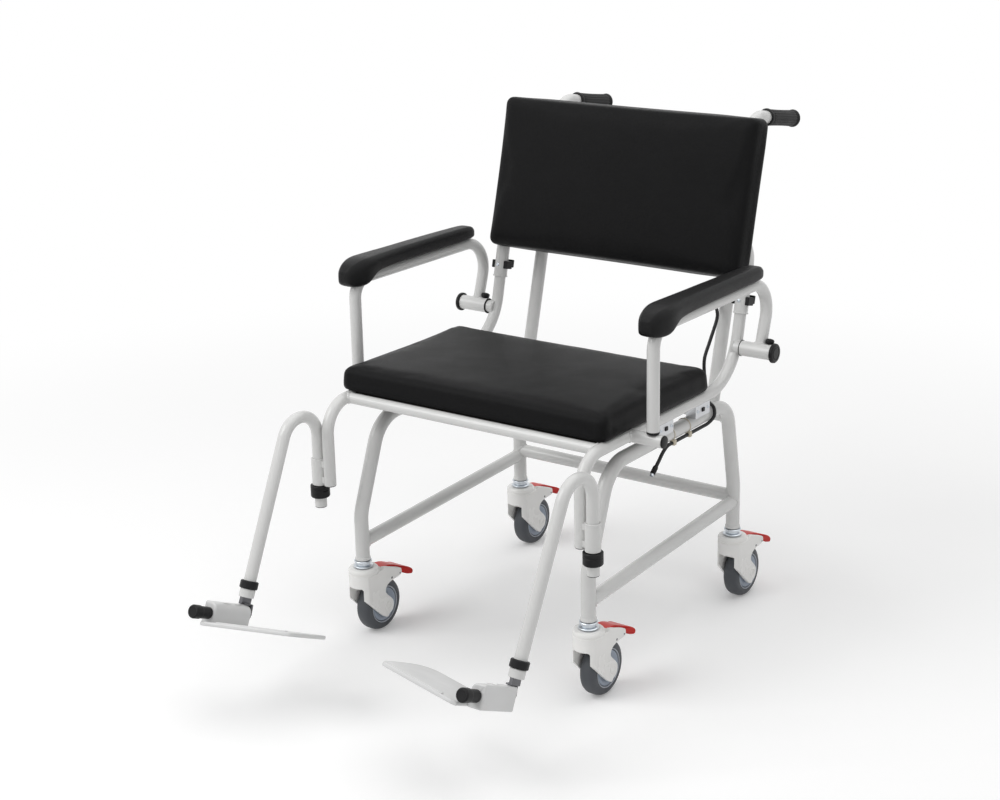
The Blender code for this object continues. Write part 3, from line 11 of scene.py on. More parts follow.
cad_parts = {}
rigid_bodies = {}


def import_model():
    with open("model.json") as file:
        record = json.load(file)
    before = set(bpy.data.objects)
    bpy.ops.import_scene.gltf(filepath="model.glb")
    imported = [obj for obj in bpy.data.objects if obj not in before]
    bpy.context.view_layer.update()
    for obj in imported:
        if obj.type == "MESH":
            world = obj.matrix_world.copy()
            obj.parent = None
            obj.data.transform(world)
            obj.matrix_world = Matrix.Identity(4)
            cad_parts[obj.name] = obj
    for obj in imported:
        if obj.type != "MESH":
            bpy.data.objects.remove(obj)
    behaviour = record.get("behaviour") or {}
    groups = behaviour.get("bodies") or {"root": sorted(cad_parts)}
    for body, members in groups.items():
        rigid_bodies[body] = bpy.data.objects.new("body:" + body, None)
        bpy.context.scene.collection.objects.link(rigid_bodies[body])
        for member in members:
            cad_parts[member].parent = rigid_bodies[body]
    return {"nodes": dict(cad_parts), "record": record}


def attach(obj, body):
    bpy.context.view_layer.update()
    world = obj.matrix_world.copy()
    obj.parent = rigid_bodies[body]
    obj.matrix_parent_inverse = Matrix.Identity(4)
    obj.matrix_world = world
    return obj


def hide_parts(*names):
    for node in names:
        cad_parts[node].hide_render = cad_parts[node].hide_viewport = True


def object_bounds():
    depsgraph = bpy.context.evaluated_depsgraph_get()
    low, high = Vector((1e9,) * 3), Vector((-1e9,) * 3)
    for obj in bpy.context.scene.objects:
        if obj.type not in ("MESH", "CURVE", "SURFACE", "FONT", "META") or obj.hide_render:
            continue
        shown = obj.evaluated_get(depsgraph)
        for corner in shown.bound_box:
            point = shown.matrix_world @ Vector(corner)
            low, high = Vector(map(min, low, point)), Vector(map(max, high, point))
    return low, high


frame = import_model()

CAD_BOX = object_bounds()

bl_info = {
    "name": "Chair Scale",
    "version": (1, 0, 0),
    "blender": (4, 5, 0),
    "location": "View3D > Sidebar > Chair Scale",
    "description": "Builds a wheeled chair scale with its finishes, studio and camera",
    "category": "Add Mesh",
}

# Sizes, in metres. The chair faces -Y, and its left is +X
FIT = 0.0003

# Castors
CASTOR_X = 0.248
CASTOR_FRONT_Y = -0.267
CASTOR_REAR_Y = 0.235
WHEEL_RADIUS = 0.050
WHEEL_WIDTH = 0.032
WHEEL_TRAIL = 0.038
HOUSING_WIDTH = 0.049
HOUSING_SLOT = 0.036
HOUSING_EDGE = 0.0022
HOUSING_CAP_RADIUS = 0.028
HOUSING_TOP_Z = 0.1365
WELL_CLEARANCE = 0.0035
ARCH_TOP_Z = 0.1015
FLANGE_RADIUS = 0.018
STEM_RADIUS = 0.006
PEDAL_WIDTH = 0.031
PEDAL_TIP_WIDTH = 0.044
HOUSING_OUTLINE_SHARES = (
    (-0.58, 1.70), (-0.58, 2.30), (-0.56, 2.50), (0.50, 2.52), (0.62, 2.58),
    (1.48, 2.26), (1.62, 2.14), (1.60, 1.98), (1.46, 1.93), (0.96, 1.88), (0.73, 1.77),
    (0.66, 1.61), (0.72, 1.48), (0.98, 1.22), (1.09, 1.04), (1.04, 0.78), (0.84, 0.64), (0.54, 0.62))
PEDAL_OUTLINE_SHARES = (
    (0.62, 2.50), (1.20, 2.44), (1.75, 2.21), (2.08, 2.07), (2.30, 1.92), (2.34, 1.82), (2.28, 1.73),
    (2.02, 1.80), (1.70, 1.95), (1.36, 2.01), (1.18, 2.05), (0.96, 2.05), (0.82, 2.12), (0.63, 2.36))

# Steps out from the axis and up from the fork's or wheel's side
FORK_PINS = (
    (0.0510, 0.1010, ((0, 0.0006), (0.0018, 0.0005), (0.0024, -0.0002), (0.0024, -0.002), (0, -0.002))),
    (0.0750, 0.1020, ((0, 0.0004), (0.0014, 0.0003), (0.0019, -0.0002), (0.0019, -0.002), (0, -0.002))))
WHEEL_RINGS = (
    ("wheel_ring", ((0.0352, -0.0012), (0.0349, -0.0001), (0.0342, 0), (0.0334, -0.0004),
                    (0.0332, -0.0030), (0.0345, -0.0030))),
    ("tyre_rubber", ((0.0336, -0.0028), (0.0322, -0.0032), (0.0312, -0.0028), (0.0312, -0.0060),
                     (0.0336, -0.0060))),
    ("wheel_hub", ((0.0315, -0.0040), (0.0313, -0.0016), (0.0300, -0.0010), (0.0260, -0.0018),
                   (0.0170, -0.0040), (0.0135, -0.0036), (0.0120, -0.0010), (0.0085, -0.0008),
                   (0.0060, -0.0014), (0.0060, -0.0080), (0.0315, -0.0080))))

# Base frame and push posts
HOOP_RADIUS = 0.013
HOOP_FOOT_Z = 0.1431
HOOP_END_Z = HOOP_FOOT_Z + 0.0085
HOOP_TOP_Z = 0.409
HOOP_KNEE_Z = 0.240
HOOP_FRONT_TOP_Y = -0.202
HOOP_REAR_TOP_Y = 0.204
HOOP_KNEE_BEND = 0.080
HOOP_FRONT_BEND = 0.070
HOOP_REAR_BEND = 0.050
BAR_RADIUS = 0.0125
LOWER_BAR_FRONT_Z = 0.185
LOWER_BAR_REAR_Z = 0.205
REAR_LOWER_BAR_Z = 0.215
REAR_UPPER_BAR_Z = 0.382
POST_X = 0.2125
POST_DIAMETER = 0.025
POST_LEAN = math.atan(0.265)
POST_BEND = 0.035
HANDLE_CORNER_Z = 0.917
HANDLE_DROP = math.atan(0.155)
HANDLE_REACH = 0.160
GRIP_LENGTH = 0.114
GRIP_RADIUS = 0.0155
GRIP_FLANGE_RADIUS = 0.0168
GRIP_FLUTES = 18
GRIP_CAP = 0.0043

# Seat frame
CELL_WIDTH = 0.025
CELL_LENGTH = 0.050
CELL_FRONT_Y = -0.050
CELL_REAR_Y = 0.078
SIDE_X = 0.270
SIDE_RADIUS = 0.011
SIDE_RAIL_Z = 0.459
HANGER_Y = -0.321
HANGER_FOOT_Z = 0.309
HANGER_BEND = 0.055
UPRIGHT_CORNER_Y = 0.1813
UPRIGHT_BEND = 0.110
UPRIGHT_LEAN = math.atan(0.234)
UPRIGHT_TOP_Z = 0.655
RAIL_RADIUS = 0.01
FRONT_RAIL_Y = -0.2635
REAR_RAIL_Y = 0.062
STUB_Y = -0.173
STUB_END_X = 0.338
ARM_AXLE_RADIUS = 0.006

# Seat and backrest
SEAT_WIDTH = 0.552
SEAT_FRONT_Y = -0.2613
SEAT_BACK_Y = 0.0850
SEAT_TOP_Z = 0.5131
SEAT_FOOT_Z = 0.4703
SLEEVE_RADIUS = 0.013
SLEEVE_FOOT_Z = 0.5822
ARCH_TOP_BAR_Z = 0.730
ARCH_BEND = 0.060
PAD_WIDTH = 0.560
PAD_HEIGHT = 0.294
PAD_THICKNESS = 0.048
PAD_FOOT_Y = 0.174
PAD_FOOT_Z = 0.653
PAD_LEAN = math.radians(14.5)
CLAMP_Z = 0.605
COVER_ROLL = 0.0130
COVER_PRESSURE = 3.0
COVER_SWELL = 0.0025

# Armrests
ARM_X = 0.318
ARM_RADIUS = 0.011
ARM_FRONT_Y = -0.174
ARM_TUBE_Z = 0.650
ARM_FRONT_BEND = 0.035
ARM_REAR_BEND = 0.055
ARM_REAR_CORNER_Y = 0.240
ARM_PIVOT_Y = 0.1895
ARM_PIVOT_Z = 0.524
ARM_ENTRY_Y = 0.1990
ARM_SLEEVE_RADIUS = 0.014
ARM_SLEEVE_START_X = 0.2848
ARM_SLEEVE_END_X = 0.3480
ARM_CAP_RADIUS = 0.018
ARM_CAP_THICKNESS = 0.007
ARM_PAD_X = 0.3195
ARM_PAD_NOSE_Y = -0.206
ARM_PAD_REAR_Y = 0.182
ARM_PAD_HALF_WIDTH = 0.0300
ARM_PAD_TOP_Z = 0.690
ARM_PAD_NOSE_DROP = 0.0225
ARM_PAD_SHARES = (
    (0.008, 0.34, 0.24, -0.42), (0.018, 0.52, 0.46, -0.74), (0.042, 0.72, 0.74, -0.96), (0.085, 0.90, 0.93,
                                                                                         -1.00),
    (0.125, 0.98, 1.00, -0.92),
    (0.175, 0.92, 1.00, -0.22), (0.240, 0.80, 1.00, 0.00), (0.560, 0.68, 1.00, 0.00), (0.920, 0.62, 0.95,
                                                                                       0.00),
    (0.980, 0.54, 0.88, 0.04), (1.000, 0.34, 0.60, 0.20))
ARM_PAD_RING_SHARES = (
    (-0.62, 0.00), (0.62, 0.00), (0.94, 0.08), (1.00, 0.22), (1.00, 0.62), (0.94, 0.78), (0.68,
                                                                                          0.97),
    (0.52, 1.00),
    (-0.52, 1.00), (-0.68, 0.97), (-0.94, 0.78), (-1.00, 0.62), (-1.00, 0.22), (-0.94, 0.08))

# Footrests
FOOTREST_X = 0.294
FOOTREST_Y = -0.322
FOOTREST_RADIUS = 0.011
FOOTREST_SLEEVE_RADIUS = 0.0137
FOOTREST_SLEEVE_TOP_Z = 0.357
FOOTREST_SLEEVE_FOOT_Z = 0.307
FOOTREST_COLLAR_RADIUS = 0.0175
FOOTREST_COLLAR_HEIGHT = 0.023
FOOTREST_STUB_Z = 0.265
FOOTREST_TOP_Z = 0.445
FOOTREST_BEND = 0.045
FOOTREST_REACH = 0.0755
FOOTREST_LEAN = math.radians(26)
FOOTREST_TOE_IN = 0.022
FOOTREST_LEG_LENGTH = 0.2965
LEG_COLLAR_RADIUS = 0.016
LEG_COLLAR_HEIGHT = 0.014
KNUCKLE_RADIUS = 0.0135
KNUCKLE_HEIGHT = 0.014
HINGE_X = 0.2815
HINGE_Y = -0.546
HINGE_Z = 0.134
HINGE_RISE = math.radians(25)
BLOCK_LENGTH = 0.093
BLOCK_WIDTH = 0.028
BLOCK_HEIGHT = 0.040
BLOCK_ROUND = 0.015
BLOCK_EDGE = 0.004
PLATE_LENGTH = 0.192
PLATE_THICKNESS = 0.007
PLATE_RAISE = math.radians(7.5)
PLATE_RIM = 0.006
PLATE_RIM_HEIGHT = 0.006
BUMPER_RADIUS = 0.013
BUMPER_LENGTH = 0.041
PLATE_SHARES = (
    (0.00, 0.03), (0.15, 0.00), (0.45, -0.10), (0.70, -0.19), (0.80, -0.17), (0.88, -0.02), (0.92, 0.30),
    (0.93, 0.80), (0.91, 0.99), (0.84, 1.08), (0.45, 1.22), (0.12, 1.33), (0.04, 1.35), (0.00, 1.32))

PLATE_RIM_SHARES = ((0.85, 1.05), (0.80, 1.085), (0.45, 1.21), (0.17, 1.305))
STRAP_THICKNESS = 0.004
STRAP_WIDTH = 0.024

# Indicator
CASE_WIDTH = 0.270
CASE_HEIGHT = 0.142
CASE_DEPTH = 0.055
CASE_Y = 0.362
CASE_Z = 0.800
CASE_TILT = math.radians(20)
CASE_SPLIT_SHARE = 0.55
WINDOWS = ((0.0155, 0.1137, 0.0084, 0.0437), (0.0155, 0.0827, -0.0454, 0.0022))
KEYPAD = (-0.1050, -0.0150, -0.0419, 0.0446)
BRACKET_Z = 0.800
BRACKET_BAR_HEIGHT = 0.030
BRACKET_BAR_THICKNESS = 0.006
BRACKET_ARM_X = 0.050
BRACKET_ARM_THICKNESS = 0.004
BRACKET_ARM_HALF_HEIGHT = 0.045
GLAND_RADIUS = 0.0065
GLAND_LENGTH = 0.012
GLAND_X = 0.100

# Signal cable
CABLE_DIAMETER = 0.0065
CONNECTOR_RADIUS = 0.0048
CONNECTOR_LENGTH = 0.020
CABLE_ROUTE = (
    (0.1000, 0.3640, 0.7130), (0.1000, 0.3620, 0.6980), (0.1130, 0.3500, 0.6790), (0.1450, 0.3280, 0.6660),
    (0.1780, 0.3000, 0.6560), (0.1935, 0.2780, 0.6400), (0.1950, 0.2640, 0.6120), (0.2000, 0.2410, 0.5870),
    (0.2120, 0.2260, 0.5770), (0.2225, 0.2080, 0.5650), (0.2225, 0.1830, 0.5290), (0.2225, 0.1640, 0.5010),
    (0.2225, 0.1640, 0.4720), (0.2240, 0.1680, 0.4450), (0.2330, 0.1530, 0.4320), (0.2480, 0.1380, 0.4275),
    (0.2615, 0.1310, 0.4225), (0.2655, 0.1260, 0.4080), (0.2610, 0.1120, 0.3975), (0.2575, 0.0900, 0.3945),
    (0.2575, 0.0400, 0.3945), (0.2575, -0.0150, 0.3945))
TAIL_ROUTE = (
    (0.2575, -0.0150, 0.3945), (0.2575, -0.0230, 0.3943), (0.2575, -0.0330, 0.3910), (0.2575, -0.0440,
                                                                                      0.3840),
    (0.2575, -0.0540, 0.3750), (0.2575, -0.0640, 0.3670))

# Camera, from its fit to the photograph: turn, rise and roll in degrees, and millimetres of lens
CAMERA_ANGLES = (34.478, 17.448, -0.764)
CAMERA_LENS = 65.914
CAMERA_SHIFT = (-0.054, -0.0116)
CAMERA_AIM = (0, 0, 0.45)
CAMERA_DISTANCE = 3.357

SIDES = (("left", 1), ("right", -1))
ENDS = (("front", CASTOR_FRONT_Y), ("rear", CASTOR_REAR_Y))


def joint_of(name):
    return next(joint for joint in frame["record"]["behaviour"]["joints"] if joint["name"] == name)


# The pieces and the camera are moved along Y by this, from a frame whose origin is under the chair's middle
# onto the imported model
SHIFT = Vector((0, joint_of("castor_swivel_front_left")["pos_m"][1] - CASTOR_FRONT_Y, 0))


# Paths

def rounded_path(corners, step=math.radians(6)):
    """Points of a line through corners of (point, radius), with an arc at each inner corner."""
    points = [Vector(corners[0][0])]
    for (before, _), (corner, radius), (after, _) in zip(corners, corners[1:], corners[2:]):
        corner = Vector(corner)
        back = (Vector(before) - corner).normalized()
        ahead = (Vector(after) - corner).normalized()
        half_turn = (math.pi - back.angle(ahead)) / 2
        start = corner + back * radius * math.tan(half_turn)
        end = corner + ahead * radius * math.tan(half_turn)
        centre = corner + (back + ahead).normalized() * radius / math.cos(half_turn)
        axis = (start - centre).cross(end - centre)
        steps = max(2, math.ceil(2 * half_turn / step))
        for count in range(steps + 1):
            turn = Matrix.Rotation(2 * half_turn * count / steps, 3, axis)
            points.append(centre + turn @ (start - centre))
    points.append(Vector(corners[-1][0]))
    return points


def smooth_path(route, spacing):
    """Points about one spacing apart on a smooth curve through the route's points."""
    knots = [Vector(point) for point in route]
    knots = [2 * knots[0] - knots[1], *knots, 2 * knots[-1] - knots[-2]]
    points = [knots[1]]
    for before, start, end, after in zip(knots, knots[1:], knots[2:], knots[3:]):
        steps = max(1, round((end - start).length / spacing))
        for count in range(1, steps + 1):
            t = count / steps
            points.append(0.5 * (2 * start + (end - before) * t
                                 + (2 * before - 5 * start + 4 * end - after) * t ** 2
                                 + (3 * start - before - 3 * end + after) * t ** 3))
    return points


def rounded_outline(corners, steps=4):
    """A closed outline of (x, y) points from corners of (x, y, radius)."""
    outline = []
    count = len(corners)
    for i, (x, y, radius) in enumerate(corners):
        corner = Vector((x, y))
        back = Vector(corners[i - 1][:2]) - corner
        ahead = Vector(corners[(i + 1) % count][:2]) - corner
        if radius <= 0:
            outline.append((x, y))
            continue
        turn = math.pi - back.angle(ahead)
        reach = radius * math.tan(turn / 2)
        start = corner + back.normalized() * reach
        end = corner + ahead.normalized() * reach
        for step in range(steps + 1):
            t = step / steps
            point = start * (1 - t) ** 2 + corner * 2 * t * (1 - t) + end * t ** 2
            outline.append((point.x, point.y))
    return outline


def rectangle(width, height, radius, steps=4):
    x = width / 2
    y = height / 2
    return softened(((-x, -y), (x, -y), (x, y), (-x, y)), radius, steps)


def softened(points, radius, steps=4):
    """A closed outline of (x, y) points with every corner rounded alike."""
    return rounded_outline([(x, y, radius) for x, y in points], steps)


def turns(count):
    """Angles of points spread evenly over a whole turn."""
    return [2 * math.pi * k / count for k in range(count)]


def around(radius, height, *steps):
    """Points of a turned profile, as steps out and up from a radius and a height."""
    return [(radius + out, height + up) for out, up in steps]


def rim_steps(steps):
    """(side, angle) of each ring round a plate's two rims, from its lower face to its upper one."""
    return [(side, math.pi / 2 * (step / steps if side < 0 else 1 - step / steps))
            for side in (-1, 1) for step in range(steps + 1)]


def leaning(angle):
    """The way up along a part that leans back, and the way out square to it."""
    return Vector((0, math.sin(angle), math.cos(angle))), Vector((0, math.cos(angle), -math.sin(angle)))


def placed(at, x_axis, z_axis):
    """A frame at a point, with its Z along one direction and its X near another, or any X."""
    up = Vector(z_axis).normalized()
    side = Vector(x_axis) if x_axis is not None else up.orthogonal()
    side = (side - up * side.dot(up)).normalized()
    turn = Matrix((side, up.cross(side), up)).transposed()
    return Matrix.Translation(at) @ turn.to_4x4()


def side_frame(at=(0, 0, 0)):
    """A frame whose X runs along the chair's Y and whose Y runs up, for side outlines."""
    return Matrix.Translation(at) @ Matrix(((0, 0, 1), (1, 0, 0), (0, 1, 0))).to_4x4()


# Shapes

class Shape:
    """Faces of one piece, each with the finish in use when it was added."""

    def __init__(self, finish):
        self.mesh = bmesh.new()
        self.finishes = []
        self.use(finish)

    def use(self, finish):
        if finish not in self.finishes:
            self.finishes.append(finish)
        self.index = self.finishes.index(finish)
        return self

    def skin(self, rings, frame_at=Matrix(), closed_length=False):
        """Faces between rings of points, and over the first and last ring."""
        loops = [[self.mesh.verts.new(frame_at @ Vector(point)) for point in ring] for ring in rings]
        pairs = list(zip(loops, loops[1:]))
        if closed_length:
            pairs.append((loops[-1], loops[0]))
        made = []
        for ring, following in pairs:
            for i in range(len(ring)):
                j = (i + 1) % len(ring)
                made.append(self.mesh.faces.new((ring[i], ring[j], following[j], following[i])))
        if not closed_length:
            made.append(self.mesh.faces.new(loops[0]))
            made.append(self.mesh.faces.new(loops[-1]))
        for face in made:
            face.material_index = self.index
            face.smooth = True
        return self

    def tube(self, points, radius, sides=32, closed=False):
        """A round tube along points. The radius is one number, or one for each point."""
        points = [Vector(point) for point in points]
        count = len(points)
        radii = radius if hasattr(radius, "__len__") else [radius] * count
        headings = []
        for i in range(count):
            following = points[(i + 1) % count if closed else min(i + 1, count - 1)]
            headings.append((following - points[i - 1 if closed else max(i - 1, 0)]).normalized())
        across = headings[0].orthogonal().normalized()
        rings = []
        for point, heading, size in zip(points, headings, radii):
            across = (across - heading * across.dot(heading)).normalized()
            other = heading.cross(across)
            rings.append([point + size * (math.cos(a) * across + math.sin(a) * other) for a in turns(sides)])
        return self.skin(rings, closed_length=closed)

    def turned(self, profile, at=Matrix(), sides=32, ring=False, flutes=0, depth=0):
        """A turned shape round the local Z, from (radius, height) points."""
        rings = []
        for radius, height in profile:
            points = []
            for a in turns(sides):
                size = radius
                if flutes and depth and radius > depth:
                    size -= depth * (0.5 - 0.5 * math.cos(flutes * a)) ** 2
                points.append((size * math.cos(a), size * math.sin(a), height))
            rings.append(points)
        return self.skin(rings, at, closed_length=ring)

    def plate(self, outline, thickness, at=Matrix(), edge=0.0008, steps=2):
        """A flat plate of an (x, y) outline, centred on its local XY plane, with rounded rims."""
        rings = []
        half = thickness / 2
        edge = min(edge, half * 0.98)
        for side, a in rim_steps(steps):
            rings.append([(x, y, side * (half - edge + edge * math.cos(a)))
                          for x, y in inset(outline, edge * (1 - math.sin(a)))])
        return self.skin(rings, at)

    def box(self, size, at=Matrix(), edge=0.001, corner=None):
        return self.plate(rectangle(size[0], size[1], corner or edge), size[2], at, edge)

    def screw(self, radius, at):
        """A pan-head screw with a hexagon socket, its head along the local Z."""
        here = self.finishes[self.index]
        self.use("zinc_plate")
        height = radius * 0.55
        self.turned(((radius, 0), (radius, height * 0.5), (radius * 0.8, height * 0.9),
                     (radius * 0.5, height),
                     (radius * 0.45, height * 0.35), (0, height * 0.3)), at, 12)
        return self.use(here)

    def weld(self, host_at, host_along, host_radius, bar_at, bar_along, bar_radius, bead=0.0022):
        """A bead where a bar, which runs away along bar_along, meets a host tube."""
        host_along = Vector(host_along).normalized()
        bar_along = Vector(bar_along).normalized()
        across = bar_along.cross(host_along)
        if across.length < 0.01:
            across = bar_along.orthogonal()
        across.normalize()
        other = bar_along.cross(across)
        points = []
        for a in turns(24):
            radial = math.cos(a) * across + math.sin(a) * other
            start = Vector(bar_at) + bar_radius * radial - Vector(host_at)
            flat = start - host_along * start.dot(host_along)
            way = bar_along - host_along * bar_along.dot(host_along)
            b = flat.dot(way) / way.length_squared
            c = (flat.length_squared - host_radius ** 2) / way.length_squared
            run = -b + math.sqrt(max(b * b - c, 0))
            points.append(Vector(host_at) + start + bar_along * run)
        wobble = [bead * (1 + 0.12 * math.sin(k * 2.4)) for k in range(24)]
        return self.tube(points, wobble, sides=8, closed=True)


def inset(outline, distance):
    """The outline moved inwards by a distance."""
    if distance == 0:
        return list(outline)
    area = sum(a[0] * b[1] - b[0] * a[1] for a, b in zip(outline, outline[1:] + outline[:1]))
    sign = 1 if area > 0 else -1
    moved = []
    count = len(outline)
    for i in range(count):
        here = Vector(outline[i])
        back = here - Vector(outline[i - 1])
        ahead = Vector(outline[(i + 1) % count]) - here
        if back.length == 0 or ahead.length == 0:
            moved.append(tuple(here))
            continue
        first = Vector((-back.y, back.x)).normalized()
        second = Vector((-ahead.y, ahead.x)).normalized()
        way = first + second
        stretch = max(0.35, way.length_squared / 4)
        moved.append(tuple(here + sign * distance * way / 2 / stretch))
    return moved


def faces_of(name, shape):
    """The gathered faces as mesh data, joined and facing outwards."""
    bmesh.ops.remove_doubles(shape.mesh, verts=shape.mesh.verts, dist=0.000002)
    bmesh.ops.recalc_face_normals(shape.mesh, faces=shape.mesh.faces)
    data = bpy.data.meshes.new(name)
    shape.mesh.to_mesh(data)
    shape.mesh.free()
    return data


def mesh_of(name, shape, angle=math.radians(38)):
    """Mesh data with its materials and its sharp edges."""
    data = faces_of(name, shape)
    for finish in shape.finishes:
        data.materials.append(finish_of(finish))
    data.set_sharp_from_angle(angle=angle)
    return data


def linked(name, data):
    """An object of the data in the scene."""
    made = bpy.data.objects.new(name, data)
    bpy.context.scene.collection.objects.link(made)
    return made


def place(name, data, body, replaces=(), at=Matrix()):
    """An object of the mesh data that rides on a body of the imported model."""
    made = linked(name, data)
    made.matrix_world = Matrix.Translation(SHIFT) @ at
    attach(made, body)
    if replaces:
        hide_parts(*replaces)
    return made


def flat_shaded(made):
    """Normals that follow the larger faces, so that flat faces beside rounded rims look flat."""
    weighted = made.modifiers.new("Flat faces", "WEIGHTED_NORMAL")
    weighted.keep_sharp = True
    return made


def piece(name, shape, body, replaces=(), slot=None):
    """An object of the shape, with weighted normals. The slot, of its first finish unless another is given, is
    worked out but not used.
    """
    slot = slot or FINISHES[shape.finishes[0]]["slot"]
    return flat_shaded(place(name, mesh_of(name, shape), body, replaces))


def refinished(node_name, finish):
    """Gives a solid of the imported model, which stays as it is, its finish."""
    materials = frame["nodes"][node_name].data.materials
    materials.clear()
    materials.append(finish_of(finish))


def baked(made):
    """The object's mesh with its modifiers applied, in its own coordinates."""
    bpy.context.view_layer.update()
    evaluated = made.evaluated_get(bpy.context.evaluated_depsgraph_get())
    return bpy.data.meshes.new_from_object(evaluated)


def scratch(shape):
    """A bare object of a shape, for a cut that is applied at once."""
    return linked("scratch", faces_of("scratch", shape))


def carved(shape, cutters, edge=0):
    """The shape with its cutters' room taken out, as a new Shape. A cutter is (Shape, operation)."""
    solid = scratch(shape)
    tools = []
    for cutter, operation in cutters:
        tool = scratch(cutter)
        tools.append(tool)
        modifier = solid.modifiers.new("Cut", "BOOLEAN")
        modifier.operation = operation
        modifier.object = tool
        modifier.solver = "EXACT"
    if edge:
        bevel = solid.modifiers.new("Edges", "BEVEL")
        bevel.width = edge
        bevel.segments = 2
        bevel.angle_limit = math.radians(40)
    data = baked(solid)
    for made in (solid, *tools):
        bpy.data.objects.remove(made)
    result = Shape(shape.finishes[0])
    result.mesh.from_mesh(data)
    for face in result.mesh.faces:
        face.smooth = True
        face.material_index = 0
    return result


# Finishes

def wire(tree, source, output, target, entry):
    tree.links.new(source.outputs[output], target.inputs[entry])


def node(tree, kind, **traits):
    """A new shader node with its settings."""
    made = tree.nodes.new(f"ShaderNode{kind}")
    for trait, value in traits.items():
        setattr(made, trait, value)
    return made


def math_node(tree, operation, *values):
    made = node(tree, "Math", operation=operation)
    for number, value in enumerate(values):
        if value is not None:
            made.inputs[number].default_value = value
    return made


def noise_node(tree, scale, detail=3.0, roughness=0.5):
    made = node(tree, "TexNoise")
    made.inputs["Scale"].default_value = scale
    made.inputs["Detail"].default_value = detail
    made.inputs["Roughness"].default_value = roughness
    return made


def new_group(name, inputs, outputs):
    """A node group with its sockets, its two ends and a node for the object's coordinates."""
    group = bpy.data.node_groups.new(name, "ShaderNodeTree")
    kinds = {"Colour": "NodeSocketColor"}
    for called, default in inputs.items():
        kind = kinds.get(called, "NodeSocketFloat")
        group.interface.new_socket(name=called, in_out="INPUT", socket_type=kind).default_value = default
    for called in outputs:
        group.interface.new_socket(name=called, in_out="OUTPUT",
                                   socket_type=kinds.get(called, "NodeSocketFloat"))
    start = group.nodes.new("NodeGroupInput")
    end = group.nodes.new("NodeGroupOutput")
    return group, start, end, node(group, "TexCoord")


def tone_drift_group():
    """A colour that drifts a little over the surface, and the drift as a mask."""
    inputs = {"Colour": (0.8, 0.8, 0.8, 1), "Scale": 8.0, "Depth": 0.08}
    group, start, end, place_on = new_group("tone_drift", inputs, ("Colour", "Mask"))
    cloud = noise_node(group, 8.0, 4.0, 0.55)
    spread = node(group, "MapRange")
    spread.inputs["From Min"].default_value = 0.3
    spread.inputs["From Max"].default_value = 0.7
    weight = math_node(group, "MULTIPLY")
    mix = node(group, "Mix", data_type="RGBA", blend_type="MULTIPLY")
    mix.inputs["B"].default_value = (0.0, 0.0, 0.0, 1)
    wire(group, place_on, "Object", cloud, "Vector")
    wire(group, start, "Scale", cloud, "Scale")
    wire(group, cloud, "Fac", spread, "Value")
    wire(group, spread, "Result", weight, 0)
    wire(group, start, "Depth", weight, 1)
    wire(group, weight, 0, mix, "Factor")
    wire(group, start, "Colour", mix, "A")
    wire(group, mix, "Result", end, "Colour")
    wire(group, spread, "Result", end, "Mask")
    return group


def skin_relief_group():
    """Height of a fine skin: the orange peel of baked powder or the sparkle of a mould."""
    group, start, end, place_on = new_group("skin_relief", {"Scale": 400.0, "Detail": 2.0}, ("Height",))
    cloud = noise_node(group, 400.0)
    wire(group, place_on, "Object", cloud, "Vector")
    wire(group, start, "Scale", cloud, "Scale")
    wire(group, start, "Detail", cloud, "Detail")
    wire(group, cloud, "Fac", end, "Height")
    return group


def hide_grain_group():
    """Pebbles and creases of grained vinyl, as a height and a crease mask."""
    inputs = {"Scale": 550.0, "Stretch": 0.002}
    group, start, end, place_on = new_group("hide_grain", inputs, ("Height", "Crease"))
    bend = noise_node(group, 160.0, 2.0)
    centred = node(group, "VectorMath", operation="SUBTRACT")
    centred.inputs[1].default_value = (0.5, 0.5, 0.5)
    scaled = node(group, "VectorMath", operation="SCALE")
    moved = node(group, "VectorMath", operation="ADD")
    cells = node(group, "TexVoronoi", feature="DISTANCE_TO_EDGE")
    edges = node(group, "MapRange", interpolation_type="SMOOTHSTEP")
    edges.inputs["From Max"].default_value = 0.22
    fine = noise_node(group, 1400.0, 2.0)
    soften = math_node(group, "MULTIPLY", None, 0.25)
    total = math_node(group, "ADD")
    crease = math_node(group, "SUBTRACT", 1.0, None)
    wire(group, place_on, "Object", bend, "Vector")
    wire(group, place_on, "Object", fine, "Vector")
    wire(group, bend, "Color", centred, 0)
    wire(group, centred, 0, scaled, 0)
    wire(group, start, "Stretch", scaled, "Scale")
    wire(group, place_on, "Object", moved, 0)
    wire(group, scaled, 0, moved, 1)
    wire(group, moved, 0, cells, "Vector")
    wire(group, start, "Scale", cells, "Scale")
    wire(group, cells, "Distance", edges, "Value")
    wire(group, fine, "Fac", soften, 0)
    wire(group, edges, "Result", total, 0)
    wire(group, soften, 0, total, 1)
    wire(group, total, 0, end, "Height")
    wire(group, edges, "Result", crease, 1)
    wire(group, crease, 0, end, "Crease")
    return group


def brushed_group():
    """Fine scratches along one way of turned or plated metal, as a height."""
    group, start, end, place_on = new_group("brushed_lines", {"Scale": 300.0}, ("Height",))
    squeeze = node(group, "VectorMath", operation="MULTIPLY")
    squeeze.inputs[1].default_value = (0.15, 0.15, 4.0)
    lines = noise_node(group, 300.0, 4.0, 0.7)
    wire(group, place_on, "Object", squeeze, 0)
    wire(group, squeeze, 0, lines, "Vector")
    wire(group, start, "Scale", lines, "Scale")
    wire(group, lines, "Fac", end, "Height")
    return group


GROUPS = {"tone_drift": tone_drift_group, "skin_relief": skin_relief_group,
          "hide_grain": hide_grain_group, "brushed_lines": brushed_group}

